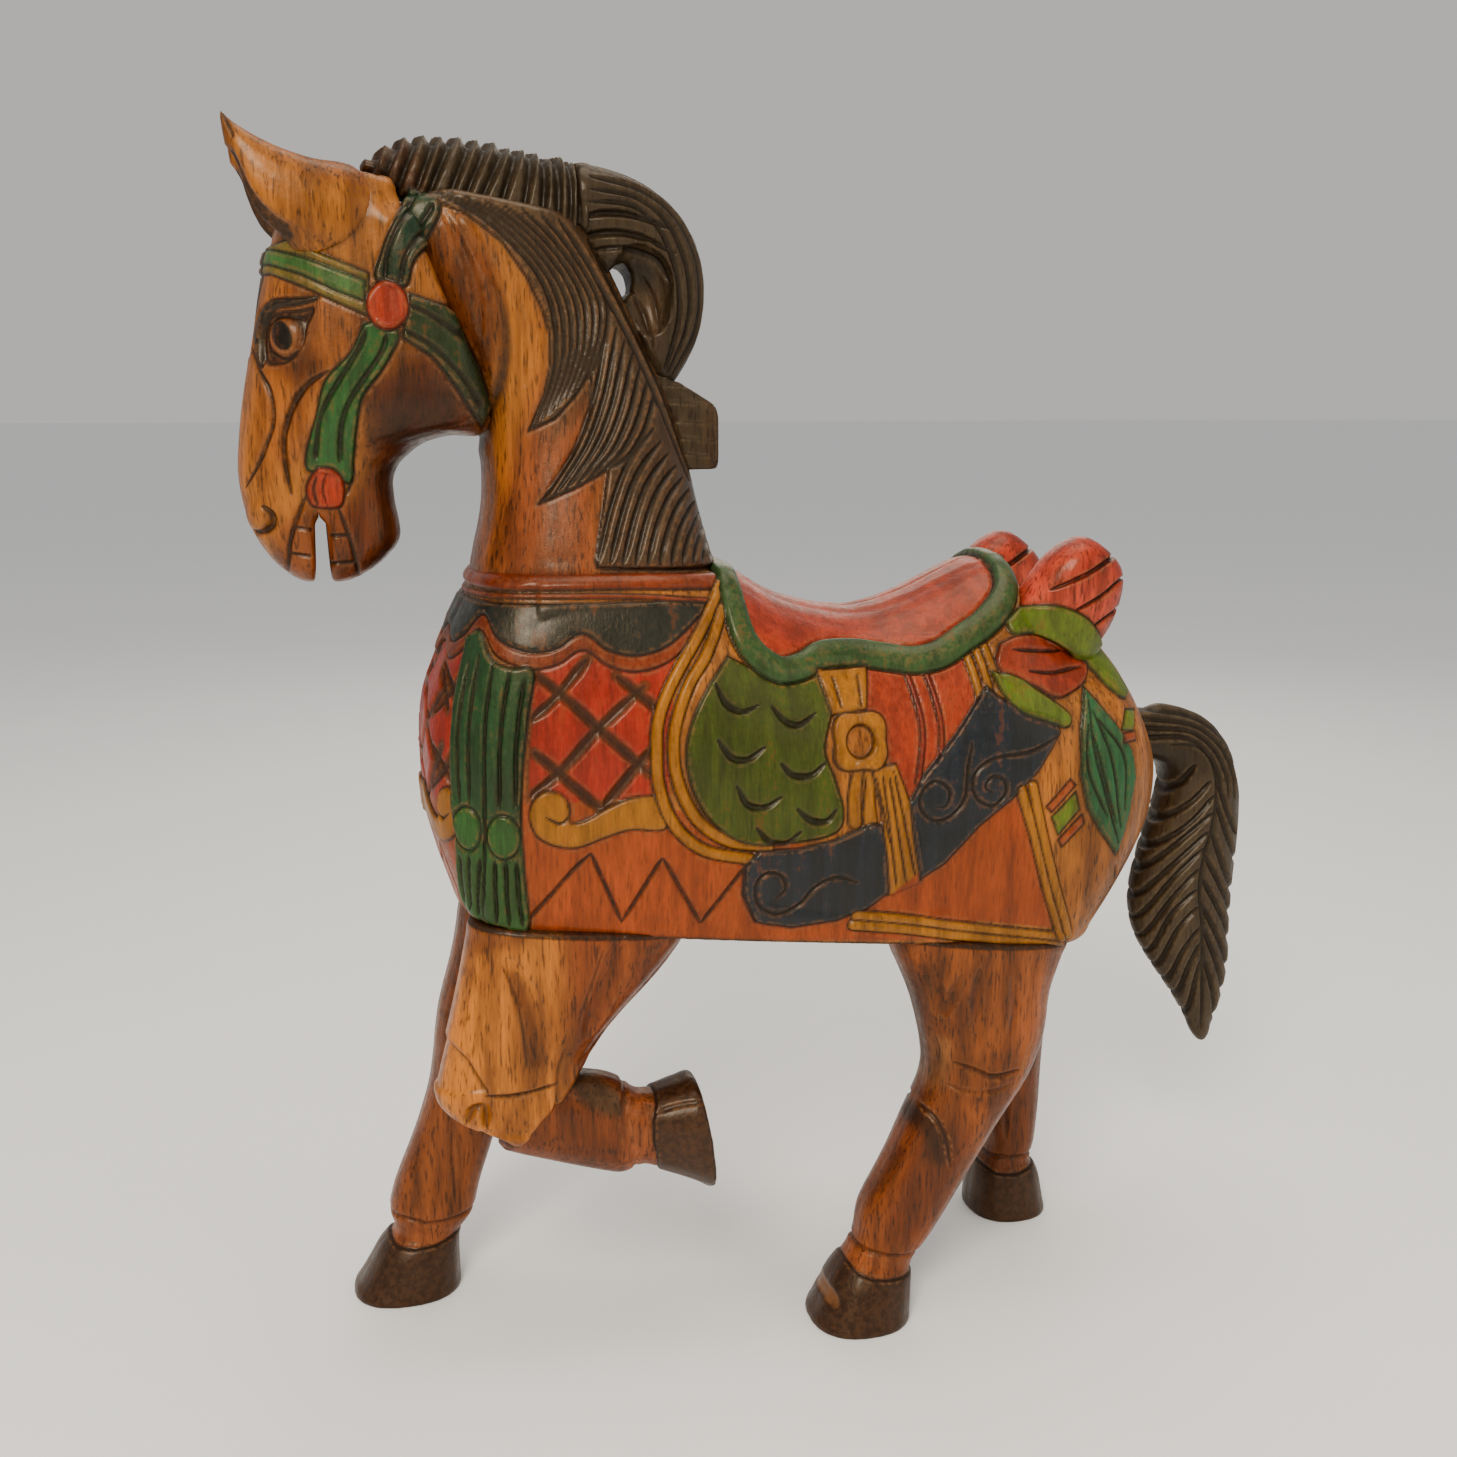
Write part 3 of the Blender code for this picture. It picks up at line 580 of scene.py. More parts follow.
def carve_saddle(b):
    """The scaled panel, the seat with its wavy rim, and the straps below it."""
    b.panel([(-62, 446), (-75, 430), (-86, 410), (-90, 388), (-84, 364), (-70, 345),
             (-50, 335), (-20, 334), (2, 338), (7, 350), (2, 370), (-4, 388), (0, 404),
             (4, 418), (-6, 432), (-40, 436)], OLIVE, lift=1.5, outlined=1.5)
    for line in (((-71, 431), (-65, 419), (-55, 414), (-45, 417)),
                 ((-37, 416), (-29, 407), (-20, 404), (-9, 410)),
                 ((-71, 399), (-63, 388), (-53, 386), (-42, 393)),
                 ((-33, 383), (-25, 375), (-14, 374), (-5, 381)),
                 ((-60, 371), (-53, 359), (-42, 357), (-32, 363)),
                 ((-23, 355), (-14, 347), (-4, 346), (2, 353)),
                 ((-48, 345), (-40, 336), (-29, 334), (-20, 341))):
        b.groove(line, 6.0, 2.8, taper=0.5, dark=1.0, rim=0.3)

    # The red blanket behind the strap
    b.panel([(18, 440), (18, 400), (34, 384), (40, 368), (52, 352), (66, 372), (82, 392),
             (100, 418), (104, 450), (60, 452)], BLANKET, lift=1.0, smooth=False)
    for shift in (0, 12):
        b.band(shifted([(51, 434), (56, 413), (58, 393), (54, 366)], shift), 3.6,
               srgb(150, 50, 32), 1.4, outlined=0.9)
    for shift in (0, 7, 13):
        b.band(shifted([(89, 446), (94, 426), (97, 408)], shift), 5.5, GOLD, 1.3,
               outlined=0.9)

    # Seat and rim
    seat = RIM_LINE + [(131, 530), (-53, 530)]
    inside = b.region(seat, smooth=False)
    hollow = b.region([(-40, 470), (-20, 450), (40, 448), (90, 462), (112, 482), (112, 540),
                       (-40, 540)])
    b.colour(ramp(inside, -0.5, 0.5), SEAT)
    b.rise -= 1.6 * ramp(inside, 5, 9)
    shade = srgb(150, 62, 44)
    b.colour(0.5 * ramp(hollow, 0, 10) * ramp(np.sin(b.x / 9.0 + b.z / 30), 0.3, 0.9), shade)
    b.band(RIM_LINE, 16.0, RIM, 4.6, outlined=2.2, level=True)

    # Girth strap, lobed ring and its tassels
    b.panel([(-6, 434), (1, 408), (24, 410), (28, 434)], GOLD, lift=1.6, smooth=False,
            outlined=1.2)
    b.groove(((4, 430), (8, 411)), 2.4, 1.2, taper=0.1)
    b.groove(((20, 430), (20, 411)), 2.4, 1.2, taper=0.1)
    for line in (((18, 378), (14, 360), (14, 344)), ((24, 376), (22, 360), (24, 342))):
        b.band(line, 9, GOLD, 1.8, outlined=0.8)
    tassel = [(24, 376), (30, 352), (33, 322), (36, 296), (57, 304), (55, 328), (49, 354),
              (40, 378)]
    b.panel(tassel, GOLD, lift=2.6, smooth=False, outlined=1.6)
    for start, end in (((31, 372), (41, 300)), ((35, 372), (47, 302)), ((38, 374), (53, 306)),
                       ((21, 372), (18, 345)), ((27, 370), (36, 330))):
        b.groove((start, end), 2.4, 1.7, taper=0.12)
    turn = np.linspace(0, 2 * np.pi, 24, endpoint=False)
    reach = 18.5 - 1.9 * np.cos(4 * turn)          # four soft lobes
    ring = np.column_stack((18 + reach * np.cos(turn), 392 + reach * np.sin(turn)))
    b.panel(ring, GOLD, lift=3.0, outlined=1.6)
    b.panel(oval(18, 392, 8.5, 9.5), HONEY, lift=-4.0, edge=1.4, cover=0.2, outlined=1.2)


def carve_flank(b):
    """The blue-grey scabbard, and the gold borders behind it."""
    b.panel([(94, 338), (120, 354), (128, 328), (152, 264), (90, 276), (30, 288),
             (40, 300)], ORANGE, smooth=False, cover=0.8)
    upper = [(100, 422), (108, 415), (124, 406), (146, 398), (150, 391), (134, 369),
             (116, 352), (94, 336), (72, 314), (56, 305), (52, 324), (48, 354), (57, 370),
             (79, 394)]
    lower = [(-55, 322), (-46, 331), (-23, 330), (1, 334), (24, 343), (31, 342), (34, 320),
             (36, 298), (23, 289), (3, 283), (-26, 281), (-48, 286), (-56, 304)]
    for outline in (upper, lower):
        b.panel(outline, SCABBARD, lift=2.6, edge=2.2, smooth=False, outlined=1.6)
    b.grooves((
        ((89, 389), (86, 372), (84, 355), (76, 345), (64, 342), (55, 351), (57, 362),
         (66, 366), (74, 360), (72, 351), (65, 350)),
        ((147, 389), (127, 381), (107, 379), (95, 374), (89, 365), (92, 354), (102, 349),
         (110, 355), (110, 364), (102, 367), (97, 361), (102, 357)),
        ((16, 307), (2, 311), (-11, 306), (-22, 295), (-35, 291), (-46, 297), (-48, 310),
         (-41, 317), (-32, 314), (-30, 306), (-36, 301)),
    ), width=3.4, depth=1.6, taper=0.12, rim=0.4)

    for line in (((16, 285), (51, 279), (92, 270), (156, 257)),
                 ((14, 279), (51, 273), (92, 264), (158, 251)),
                 ((122, 357), (132, 328), (142, 296), (156, 258)),
                 ((130, 359), (138, 328), (149, 292), (162, 258))):
        b.band(line, 7.0, GOLD, 1.8, outlined=1.2)


def carve_rump(b):
    """Flower lobes, ribbons, the leaf and the short stripes behind the saddle."""
    b.panel([(112, 446), (124, 450), (140, 449), (158, 441), (176, 432), (174, 420),
             (158, 412), (146, 412), (132, 420), (116, 424), (108, 434)], BLANKET,
            lift=2.4, outlined=1.4)
    b.groove(((119, 442), (138, 440), (158, 437)), 3.4, 2.4)
    b.groove(((128, 429), (150, 426), (172, 427)), 3.4, 2.4)
    b.panel(RIBBON, LIME, lift=2.6, outlined=1.5)
    b.panel([(104, 430), (120, 426), (140, 414), (158, 401), (155, 393), (139, 398),
             (122, 405), (110, 417)], LIME, lift=2.4, outlined=1.5)
    leaf = [(171, 417), (182, 404), (194, 390), (205, 374), (208, 357), (203, 331),
            (195, 307), (180, 325), (169, 342), (164, 363), (165, 391)]
    b.panel(leaf, LEAF, lift=2.2, edge=1.8, smooth=False, outlined=1.6)
    b.grooves((((172, 408), (175, 372), (194, 316)), ((174, 402), (186, 372), (195, 326)),
               ((176, 398), (196, 372), (198, 336)), ((170, 394), (169, 366), (184, 334)),
               ((173, 388), (181, 360), (191, 330))), width=3.0, depth=1.6, taper=0.2,
              rim=0.15)
    for outline, colour in (
            (((140, 345), (157, 361), (161, 357), (144, 341)), ORANGE),
            (((144, 338), (161, 353), (164, 341), (149, 326)), LIME),
            (((149, 323), (166, 338), (168, 332), (152, 318)), ORANGE),
            (((203, 400), (214, 398), (208, 386), (197, 388)), LIME),
            (((197, 386), (210, 386), (210, 380), (196, 380)), ORANGE)):
        b.panel(outline, colour, lift=0.6, smooth=False, outlined=1.2)
    b.groove(((196, 300), (200, 288)), 3.0, 1.5)


# ------------------------------------------------------------------ head, ears, bridle

BRIDLE_DARK = srgb(28, 84, 66)
BRIDLE_GREEN = srgb(60, 124, 72)
BROWBAND_GREEN = srgb(92, 142, 84)
BROWBAND_EDGE = srgb(150, 138, 66)
NAPE_GREEN = srgb(58, 86, 54)
ROSETTE_RED = srgb(194, 78, 42)
INK = srgb(14, 10, 8)
EYE_RING = srgb(150, 96, 48)


def carve_bridle(b):
    """The straps cross from the head block on to the neck, so both get them."""
    b.panel([(-231, 708), (-241, 689), (-248, 674), (-253, 657), (-237, 653), (-232, 666),
             (-221, 682), (-215, 697), (-222, 704)], BRIDLE_DARK, lift=2.4, outlined=1.8)
    b.grooves((((-226, 705), (-238, 688), (-245, 673), (-248, 656)),
               ((-219, 698), (-229, 682), (-237, 668), (-240, 654))),
              width=3.8, depth=1.8, taper=0.05, rim=0.2)
    b.panel([(-235, 650), (-217, 643), (-204, 630), (-195, 612), (-190, 596), (-197, 579),
             (-204, 588), (-213, 602), (-224, 616), (-240, 626)], NAPE_GREEN, lift=2.0,
            smooth=False, outlined=1.6)
    b.grooves((((-236, 644), (-221, 636), (-207, 623), (-196, 604)),
               ((-238, 630), (-223, 621), (-209, 606), (-199, 589))),
              width=3.6, depth=1.6, taper=0.05, rim=0.2)
    b.panel(oval(-247, 643, 11.5, 13.5), ROSETTE_RED, lift=3.4, edge=3.0, outlined=2.2)


def carve_head(b):
    # Painted shade on the rear and lower cheek
    b.tint([(-264, 606), (-240, 614), (-220, 640), (-186, 660), (-170, 600), (-222, 556),
            (-240, 530), (-240, 495), (-272, 490), (-276, 530), (-262, 560)],
           srgb(112, 58, 26), 0.9, 12)
    b.tint([(-290, 660), (-250, 640), (-262, 610), (-300, 560), (-318, 560), (-316, 640)],
           srgb(182, 120, 56), 0.7, 12)
    # Painted shadow under the jaw
    b.tint([(-264, 590), (-226, 600), (-206, 600), (-222, 556), (-240, 530), (-250, 560)],
           srgb(70, 36, 16), 0.7, 14)
    b.tint(oval(-296, 610, 15, 9), srgb(110, 62, 26), 0.7, 7)
    b.tint([(-296, 534), (-310, 520), (-310, 486), (-262, 486), (-264, 524), (-278, 536)],
           srgb(134, 76, 38), 0.8, 6)
    for ear in ("ear_left", "ear_right"):
        b.flare(ear, 20, 1.4)
    # The jowl stands proud at the joint, up to the strap
    b.rise += 3.0 * ramp(0.934 * b.x + 0.358 * b.z, 4, 22) * (1 - ramp(b.z, 686, 700))

    # Browband, with a lighter strip along each edge; it runs across the forehead
    b.panel([(-340, 680), (-306, 676), (-296, 678), (-282, 671), (-256, 660), (-257, 637),
             (-275, 645), (-292, 653), (-308, 660), (-340, 664)], BROWBAND_EDGE, lift=1.6,
            smooth=False, outlined=1.4)
    b.panel([(-340, 677), (-306, 673), (-289, 668), (-258, 656), (-259, 645), (-275, 651),
             (-291, 659), (-308, 665), (-340, 668)], BROWBAND_GREEN, lift=0.8,
            smooth=False, edge=1.2, outlined=1.2)

    # Lower cheek strap down to the bit
    b.panel([(-260, 634), (-268, 618), (-282, 603), (-288, 583), (-294, 564), (-294, 554),
             (-287, 553), (-280, 551), (-270, 546), (-268, 560), (-266, 576), (-262, 594),
             (-250, 610), (-241, 628), (-250, 634)], BRIDLE_GREEN, lift=2.0, outlined=1.6)
    b.grooves((((-259, 630), (-264, 619), (-280, 594), (-286, 581), (-289, 560)),
               ((-248, 628), (-252, 617), (-268, 594), (-274, 579), (-276, 558))),
              width=4.4, depth=2.0, taper=0.05, rim=0.2)
    carve_bridle(b)

    # Forelock down the front of the face
    lock = b.region([(-306, 690), (-309, 672), (-315, 652), (-319, 636), (-323, 617),
                     (-350, 612), (-350, 692)], smooth=False)
    b.colour(0.85 * ramp(lock, -1, 1), DARK_HAIR, 0.5)
    b.outline(lock, 1.0, 2.4)
    b.flute(7.0, 1.0, ramp(lock, 0, 3))

    # Eye: dark brow, sunk socket, domed ball, pupil
    b.band([(-284, 647), (-295, 645), (-307, 644), (-313, 638), (-317, 627), (-316, 611)],
           5.4, srgb(58, 50, 40), 1.2, outlined=1.4, facing=True, taper=0.4)
    socket = [(-314, 628), (-311, 637), (-304, 640), (-296, 640), (-287, 641), (-291, 632),
              (-293, 623), (-300, 614), (-312, 612), (-315, 619)]
    inside = b.panel(socket, srgb(96, 54, 24), lift=-2.8, edge=2.4, outlined=1.2, facing=True)
    b.stain_and_shade(0.4 * ramp(inside, 0, 2.5) * b.facing)
    b.dark *= 1 - ramp(b.region(oval(-302, 626, 9, 10)), -1.5, 0.5) * b.facing
    b.panel(oval(-302, 626, 9, 10.5), EYE_RING, lift=3.6, edge=4.5, facing=True)
    b.panel(oval(-303, 626.5, 7.5, 9), srgb(176, 122, 68), facing=True)
    b.panel(oval(-303.5, 627, 5.6, 8.2, -0.15), INK, lift=0.4, edge=2.0, facing=True)
    b.groove(((-311, 633), (-306, 637), (-298, 637), (-291, 636)), 3.2, 1.4, rim=0.2)
    b.groove(((-312, 619), (-303, 614.5), (-295, 619)), 3.0, 1.2, rim=0.6)

    # Folds of the face, nostril and lips
    b.groove([(-280, 608), (-291, 601), (-299, 591), (-304, 579), (-306, 571), (-306, 558),
              (-303, 540)], 5.4, 2.6, dark=0.95)
    b.groove([(-321, 622), (-317, 608), (-312, 597), (-311, 581), (-315, 569), (-320, 558),
              (-328, 544)], 3.8, 1.8)
    b.panel(oval(-322, 527, 7, 7.5), None, lift=1.8, edge=4.0, facing=True)
    b.groove([(-319, 534), (-314.5, 529), (-315, 523), (-321, 518.5), (-328, 520)], 6.0,
             3.4, taper=0.45, dark=1.0)
    b.groove([(-295, 540), (-300, 529), (-303, 521), (-306, 511), (-308, 494)], 4.0, 2.0,
             taper=0.2)
    b.groove([(-278, 533), (-274, 521), (-271, 510), (-267, 490)], 3.4, 1.6, taper=0.2)
    for start, end in (((-303, 522), (-292, 520)), ((-307, 507), (-294, 505)),
                       ((-284, 517), (-272, 517)), ((-284, 501), (-269, 501))):
        b.groove((start, end), 3.2, 1.5, taper=0.05)
    b.groove([(-269, 551), (-272, 542), (-278, 534)], 3.0, 1.4)
    b.panel([(-288, 556), (-280, 555), (-275, 549), (-274, 541), (-277, 533), (-290, 533),
             (-294, 537), (-295, 544), (-292, 551)], ROSETTE_RED, lift=2.6, edge=2.2,
            cover=0.75, outlined=1.6)
    b.grooves((((-289, 551), (-291, 543), (-289, 534)), ((-284, 552), (-286, 543),
               (-284, 534))), width=2.2, depth=1.2, taper=0.2)
    mouth = b.region([(-296, 478), (-279, 478), (-281, 533), (-294, 533)], smooth=False)
    # Painted shade on the inner walls of the mouth slot, strongest towards its top
    b.stain_and_shade(0.8 * ramp(mouth, -0.5, 1.5) * (1 - b.facing) * ramp(b.z, 490, 520))
    crease = b.region([(-262, 560), (-240, 556), (-238, 540), (-246, 536), (-262, 545)])
    # Painted shade in the crease behind the mouth
    b.stain_and_shade(0.3 * ramp(crease, -8, 4))


def carve_ear(b):
    """Smooth back; the hollow of the ear opens forward and down."""
    b.flare("head", 14, 1.6)
    b.tint([(-250, 700), (-250, 745), (-340, 760), (-310, 728)], srgb(122, 66, 28), 0.7, 10)
    opening = ramp(-0.7 * b.normals[:, 0] - 0.7 * b.normals[:, 2], 0.25, 0.7)
    line = bend([(-290, 676), (-303, 684), (-314, 697), (-322, 712), (-326, 726)])
    gap, place = follow(line, b.side)
    hollow = np.clip(1 - gap / 13, 0, 1) * opening * ramp(place, 0.0, 0.25)
    hollow = hollow * (1 - ramp(place, 0.8, 1.0))
    b.gouge(4.5 * np.sqrt(hollow))
    # Painted shade inside the hollow of the ear
    b.stain_and_shade(0.75 * ramp(hollow, 0.02, 0.35))
    b.groove([(-297, 679), (-306, 686), (-315, 698), (-321, 711), (-325, 724)], 3.0, 1.0,
             taper=0.3, dark=0.7, rim=0.8)
    b.groove([(-328, 742), (-325, 734), (-323, 728)], 2.6, 0.8, taper=0.2)


# ------------------------------------------------------------------------ mane and neck

HAIR = dict(width=5.0, depth=2.6, taper=0.16, dark=0.9, rim=0.4)


def carve_neck(b):
    b.tint([(-160, 600), (-120, 600), (-110, 560), (-130, 540), (-132, 488), (-190, 488),
            (-180, 560)], srgb(160, 92, 56), 0.8, 14)
    b.tint([(-215, 560), (-196, 560), (-192, 488), (-215, 488)], srgb(150, 84, 34), 0.5, 8)
    b.tint([(-215, 600), (-190, 610), (-184, 660), (-205, 690), (-240, 690)],
           srgb(128, 66, 28), 0.7, 10)

    # The jowl's edge stands over the neck, with painted shade under its edge and in the corner
    # below it; long soft folds run down from the poll
    jowl = b.region([(-212, 712), (-198, 686), (-188, 660), (-183, 630), (-186, 603),
                     (-197, 580), (-230, 560), (-280, 712)])
    b.rise += 3.0 * ramp(jowl, -2.0, 3.0) * (1 - ramp(b.z, 686, 700))
    # Painted shadow just below the jowl's edge
    b.stain_and_shade(0.6 * np.exp(-((jowl + 1.5) / 3.6) ** 2) * (1 - ramp(b.z, 630, 680)))
    # Painted shade in the corner under the jowl
    b.stain_and_shade(0.8 * np.exp(-((b.x + 200) / 12) ** 2 - ((b.z - 577) / 12) ** 2))
    b.tint([(-230, 596), (-196, 592), (-188, 560), (-198, 520), (-202, 488), (-230, 488)],
           srgb(98, 50, 22), 0.85, 8)
    b.groove([(-214, 694), (-203, 672), (-196, 648), (-194, 628)], 7, 1.4, dark=0.25, rim=0.2)
    b.groove([(-206, 690), (-190, 664), (-176, 640), (-172, 600)], 8, 1.2, dark=0.15, rim=0.2)

    mane = [(-252, 724), (-244, 716), (-226, 706), (-214, 698), (-201, 693), (-183, 679),
            (-170, 660), (-162, 643), (-158, 629), (-158, 612), (-162, 595), (-171, 575),
            (-156, 582), (-144, 595), (-135, 608), (-136, 586), (-147, 561), (-167, 534),
            (-146, 543), (-127, 553), (-132, 526), (-137, 502), (-136, 498), (-40, 493),
            (-40, 560), (-90, 660), (-120, 730)]
    inside = b.panel(mane, DARK_HAIR, lift=2.2, edge=1.2, smooth=False, cover=0.15,
                     outlined=1.2)
    b.rub(0.9 * np.exp(-((inside - 0.5) / 1.4) ** 2) * ramp(b.z, 600, 640))
    b.tint([(-230, 712), (-160, 700), (-120, 640), (-130, 600), (-160, 570), (-150, 640),
            (-190, 690)], srgb(112, 98, 78), 0.7, 10)
    b.strands([(-222, 706), (-192, 691), (-168, 668), (-157, 647), (-154, 622), (-158, 600),
               (-168, 577)],
              [(-150, 692), (-141, 680), (-131, 664), (-123, 647), (-124, 632), (-129, 618),
               (-136, 604)], 8, **HAIR)
    b.strands([(-123, 640), (-127, 620), (-133, 595), (-144, 567), (-164, 536)],
              [(-95, 598), (-99, 586), (-105, 573), (-114, 561), (-127, 553)], 7, **HAIR)
    b.strands([(-98, 576), (-114, 558), (-125, 535), (-136, 500)],
              [(-54, 504), (-57, 502), (-60, 500), (-62, 497)], 11, **HAIR)
    b.tint([(-134, 500), (-40, 496), (-40, 480), (-134, 480)], srgb(92, 56, 32), 0.9, 3)
    b.strands([(-140, 680), (-120, 645), (-102, 610), (-86, 573), (-75, 545)],
              [(-112, 690), (-92, 645), (-74, 606), (-66, 575), (-60, 540)], 5, **HAIR)
    carve_bridle(b)


def carve_crest(b):
    b.tint([(-262, 705), (-226, 700), (-232, 735), (-262, 740)], srgb(104, 66, 42), 0.8, 6)
    # The tufts of the two sides stand half a tuft apart along the top
    even = b.side
    b.side = even + np.column_stack((2.3 * (1 + np.tanh(b.y / 3)), 0 * b.y))
    for top, foot in (((-243, 744), (-256, 708)), ((-232, 750), (-248, 706)),
                      ((-222, 750), (-240, 702)), ((-212, 750), (-231, 698)),
                      ((-202, 750), (-224, 698)), ((-191, 750), (-214, 694)),
                      ((-181, 750), (-207, 690)), ((-170, 750), (-199, 688)),
                      ((-164, 750), (-187, 684)), ((-158, 750), (-172, 682)),
                      ((-152, 748), (-160, 680)), ((-147, 748), (-150, 680)),
                      ((-139, 746), (-143, 678)), ((-132, 744), (-138, 676))):
        uneven = (int(-top[0]) * 7 % 5) / 4
        b.groove((top, foot), 4.6 + 1.4 * uneven, 2.6 + 1.2 * uneven, taper=0, dark=0.95,
                 facing=False, rim=0.4)
        above = (2 * top[0] - foot[0], 2 * top[1] - foot[1])
        b.groove((above, foot), 9.5, 5.4 + uneven, taper=0.5, dark=0.6, facing=False, rim=0.2)
    b.side = even
    b.stain_and_shade(0.3)
    carve_bridle(b)


def carve_curl(b):
    outer = ramp(0.5 - np.abs(b.normals[:, 1]), 0.0, 0.25) * ramp(
        (b.x + 108) * b.normals[:, 0] + (b.z - 655) * b.normals[:, 2], 10, 24)
    b.flute(7.5, 2.2, outer, dark=0.85)
    b.strands([(-130, 717), (-101, 712), (-80, 699), (-67, 678), (-63, 655), (-66, 632),
               (-80, 606)],
              [(-132, 703), (-106, 702), (-90, 690), (-81, 670), (-77, 648), (-79, 631),
               (-85, 610)], 3, **HAIR)
    b.groove([(-136, 694), (-122, 697), (-104, 696), (-82, 690)], 5.6, 3.6, dark=1.0)
    b.groove([(-142, 682), (-122, 686), (-104, 685), (-80, 676)], 5.6, 3.6, dark=1.0)
    b.groove([(-134, 676), (-112, 678), (-92, 673), (-83, 660)], 4.0, 2.0, dark=0.9)
    b.stain_and_shade(0.3)
    hollow = b.region([(-130, 676), (-103, 677), (-88, 670), (-84, 655), (-87, 634),
                       (-88, 612), (-110, 630), (-122, 650)])
    # Painted shade in the hollow inside the curl
    b.stain_and_shade(0.55 * ramp(hollow, 2, 7) * ramp(b.z, 640, 664))
    # Painted highlight: the lit inner wall of the hollow is made lighter
    b.tint([(-104, 655), (-88, 655), (-86, 625), (-94, 622)], srgb(112, 92, 74), 0.8, 5)
    b.grooves((((-98, 664), (-91, 650), (-89, 632)), ((-104, 656), (-97, 642), (-93, 622)),
               ((-108, 644), (-102, 632), (-98, 618))), width=4.4, depth=1.8, taper=0.4,
              dark=0.6)


def carve_block(b):
    b.tint([(-60, 550), (-50, 550), (-50, 600), (-60, 600)], srgb(90, 66, 48), 0.6, 4)
    for k, z in enumerate((560, 569, 579, 590, 600)):
        b.groove([(-96, z + 2 - k % 3), (-74, z + 1), (-50, z - 2 + k % 2)], 2.2, 0.5,
                 dark=0.4, taper=0.4, rim=0.4)


# ---------------------------------------------------------------------- legs and hooves

HOOF = srgb(42, 43, 42)
PASTERN = srgb(168, 108, 66)


def carve_hoof(b, outline, lift):
    """Dark horn with a step along its border."""
    inside = b.panel(outline, HOOF, lift=lift, edge=1.0, smooth=False, cover=0.35,
                     outlined=0.9)
    b.rub(0.12 * ramp(inside, 1, 6))


def carve_standing_hoof(b, border):
    """Horn from a line that runs round the leg down to the floor."""
    low = [(border[-1][0] + 60, -20), (border[0][0] - 60, -20)]
    carve_hoof(b, border + low, 1.2)


def shadow_under_belly(b):
    """Painted shadow at the top of a leg, where it meets the underside of the belly."""
    # Painted shadow from the belly line down
    b.stain_and_shade(0.8 * ramp(b.below(*BELLY), 2.2, 0))


def carve_foreleg_raised(b):
    shadow_under_belly(b)
    b.tint([(-168, 310), (-50, 310), (-60, 250), (-146, 190), (-160, 190)],
           srgb(142, 78, 34), 0.9, 12)
    b.tint([(-240, 310), (-180, 310), (-190, 282), (-240, 276)], srgb(130, 70, 30), 0.6, 6)
    b.groove([(-196, 274), (-187, 254), (-182, 236), (-180, 207)], 17, 3.4, taper=0.3,
             dark=0.22, rim=0.3)
    b.groove([(-199, 270), (-193, 254), (-189, 236), (-186, 206)], 3.4, 0.8, dark=0.6)
    b.groove([(-128, 283), (-134, 263), (-141, 243), (-150, 220)], 17, 3.4, dark=0.3,
             rim=0.3)
    b.groove([(-140, 276), (-147, 255), (-155, 232)], 3.4, 0.8, dark=0.5)
    # Flat chisel facets over the knee
    b.panel([(-240, 226), (-229, 219), (-221, 213), (-215, 203), (-211, 194), (-240, 190)],
            None, lift=-1.8, edge=1.4, smooth=False)
    b.groove([(-231, 221), (-222, 214), (-216, 204), (-209, 192)], 4.0, 1.4, dark=0.6,
             taper=0.1, rim=0.8)
    b.tint([(-197, 268), (-188, 262), (-180, 236), (-176, 208), (-186, 208), (-190, 236)],
           srgb(150, 98, 44), 0.8, 3)
    b.groove([(-211, 191), (-198, 189), (-183, 190), (-167, 193)], 5.0, 2.2, dark=0.75,
             taper=0.2, rim=0.8)
    b.panel([(-210, 189), (-168, 191), (-166, 172), (-174, 158), (-214, 164)], None,
            lift=-1.4, edge=1.6, smooth=False)
    b.groove([(-222, 172), (-219, 181), (-212, 182), (-211, 168)], 8.0, 4.0, dark=0.6,
             facing=False, rim=0.6)
    b.groove([(-163, 216), (-167, 200), (-168, 178), (-173, 160)], 4.0, 1.2, dark=0.5)


def carve_foreleg_shin(b):
    b.tint([(-160, 206), (-142, 190), (-128, 178), (-126, 166), (-140, 168), (-156, 182)],
           DARK_HAIR, 0.8, 4)
    b.tint([(-128, 190), (-100, 190), (-100, 120), (-122, 120)], PASTERN, 0.7, 4)
    b.groove([(-118, 190), (-126, 172), (-125, 150), (-117, 122)], 7, 1.6, dark=0.35,
             facing=False)
    carve_hoof(b, [(-104, 186), (-105, 172), (-109, 160), (-109, 148), (-104, 124),
                   (-104, 96), (-50, 96), (-50, 186)], 1.4)
    b.groove([(-110, 163), (-92, 168), (-74, 170)], 3.0, 0.8, dark=0.3, rim=0.5)


def carve_foreleg_standing(b):
    shadow_under_belly(b)
    b.tint([(-300, 60), (-200, 60), (-200, 34), (-300, 34)], PASTERN, 0.75, 4)
    b.groove([(-285, 56), (-260, 57), (-249, 55), (-237, 52), (-200, 55)], 4.5, 1.8,
             dark=0.55, facing=False, taper=0)
    b.groove([(-222, 200), (-222, 150), (-223, 109), (-222, 64)], 5, 1.6, dark=0.4)
    carve_standing_hoof(b, [(-310, 40), (-268, 40), (-261, 36), (-250, 35), (-235, 36),
                            (-223, 39), (-190, 42)])


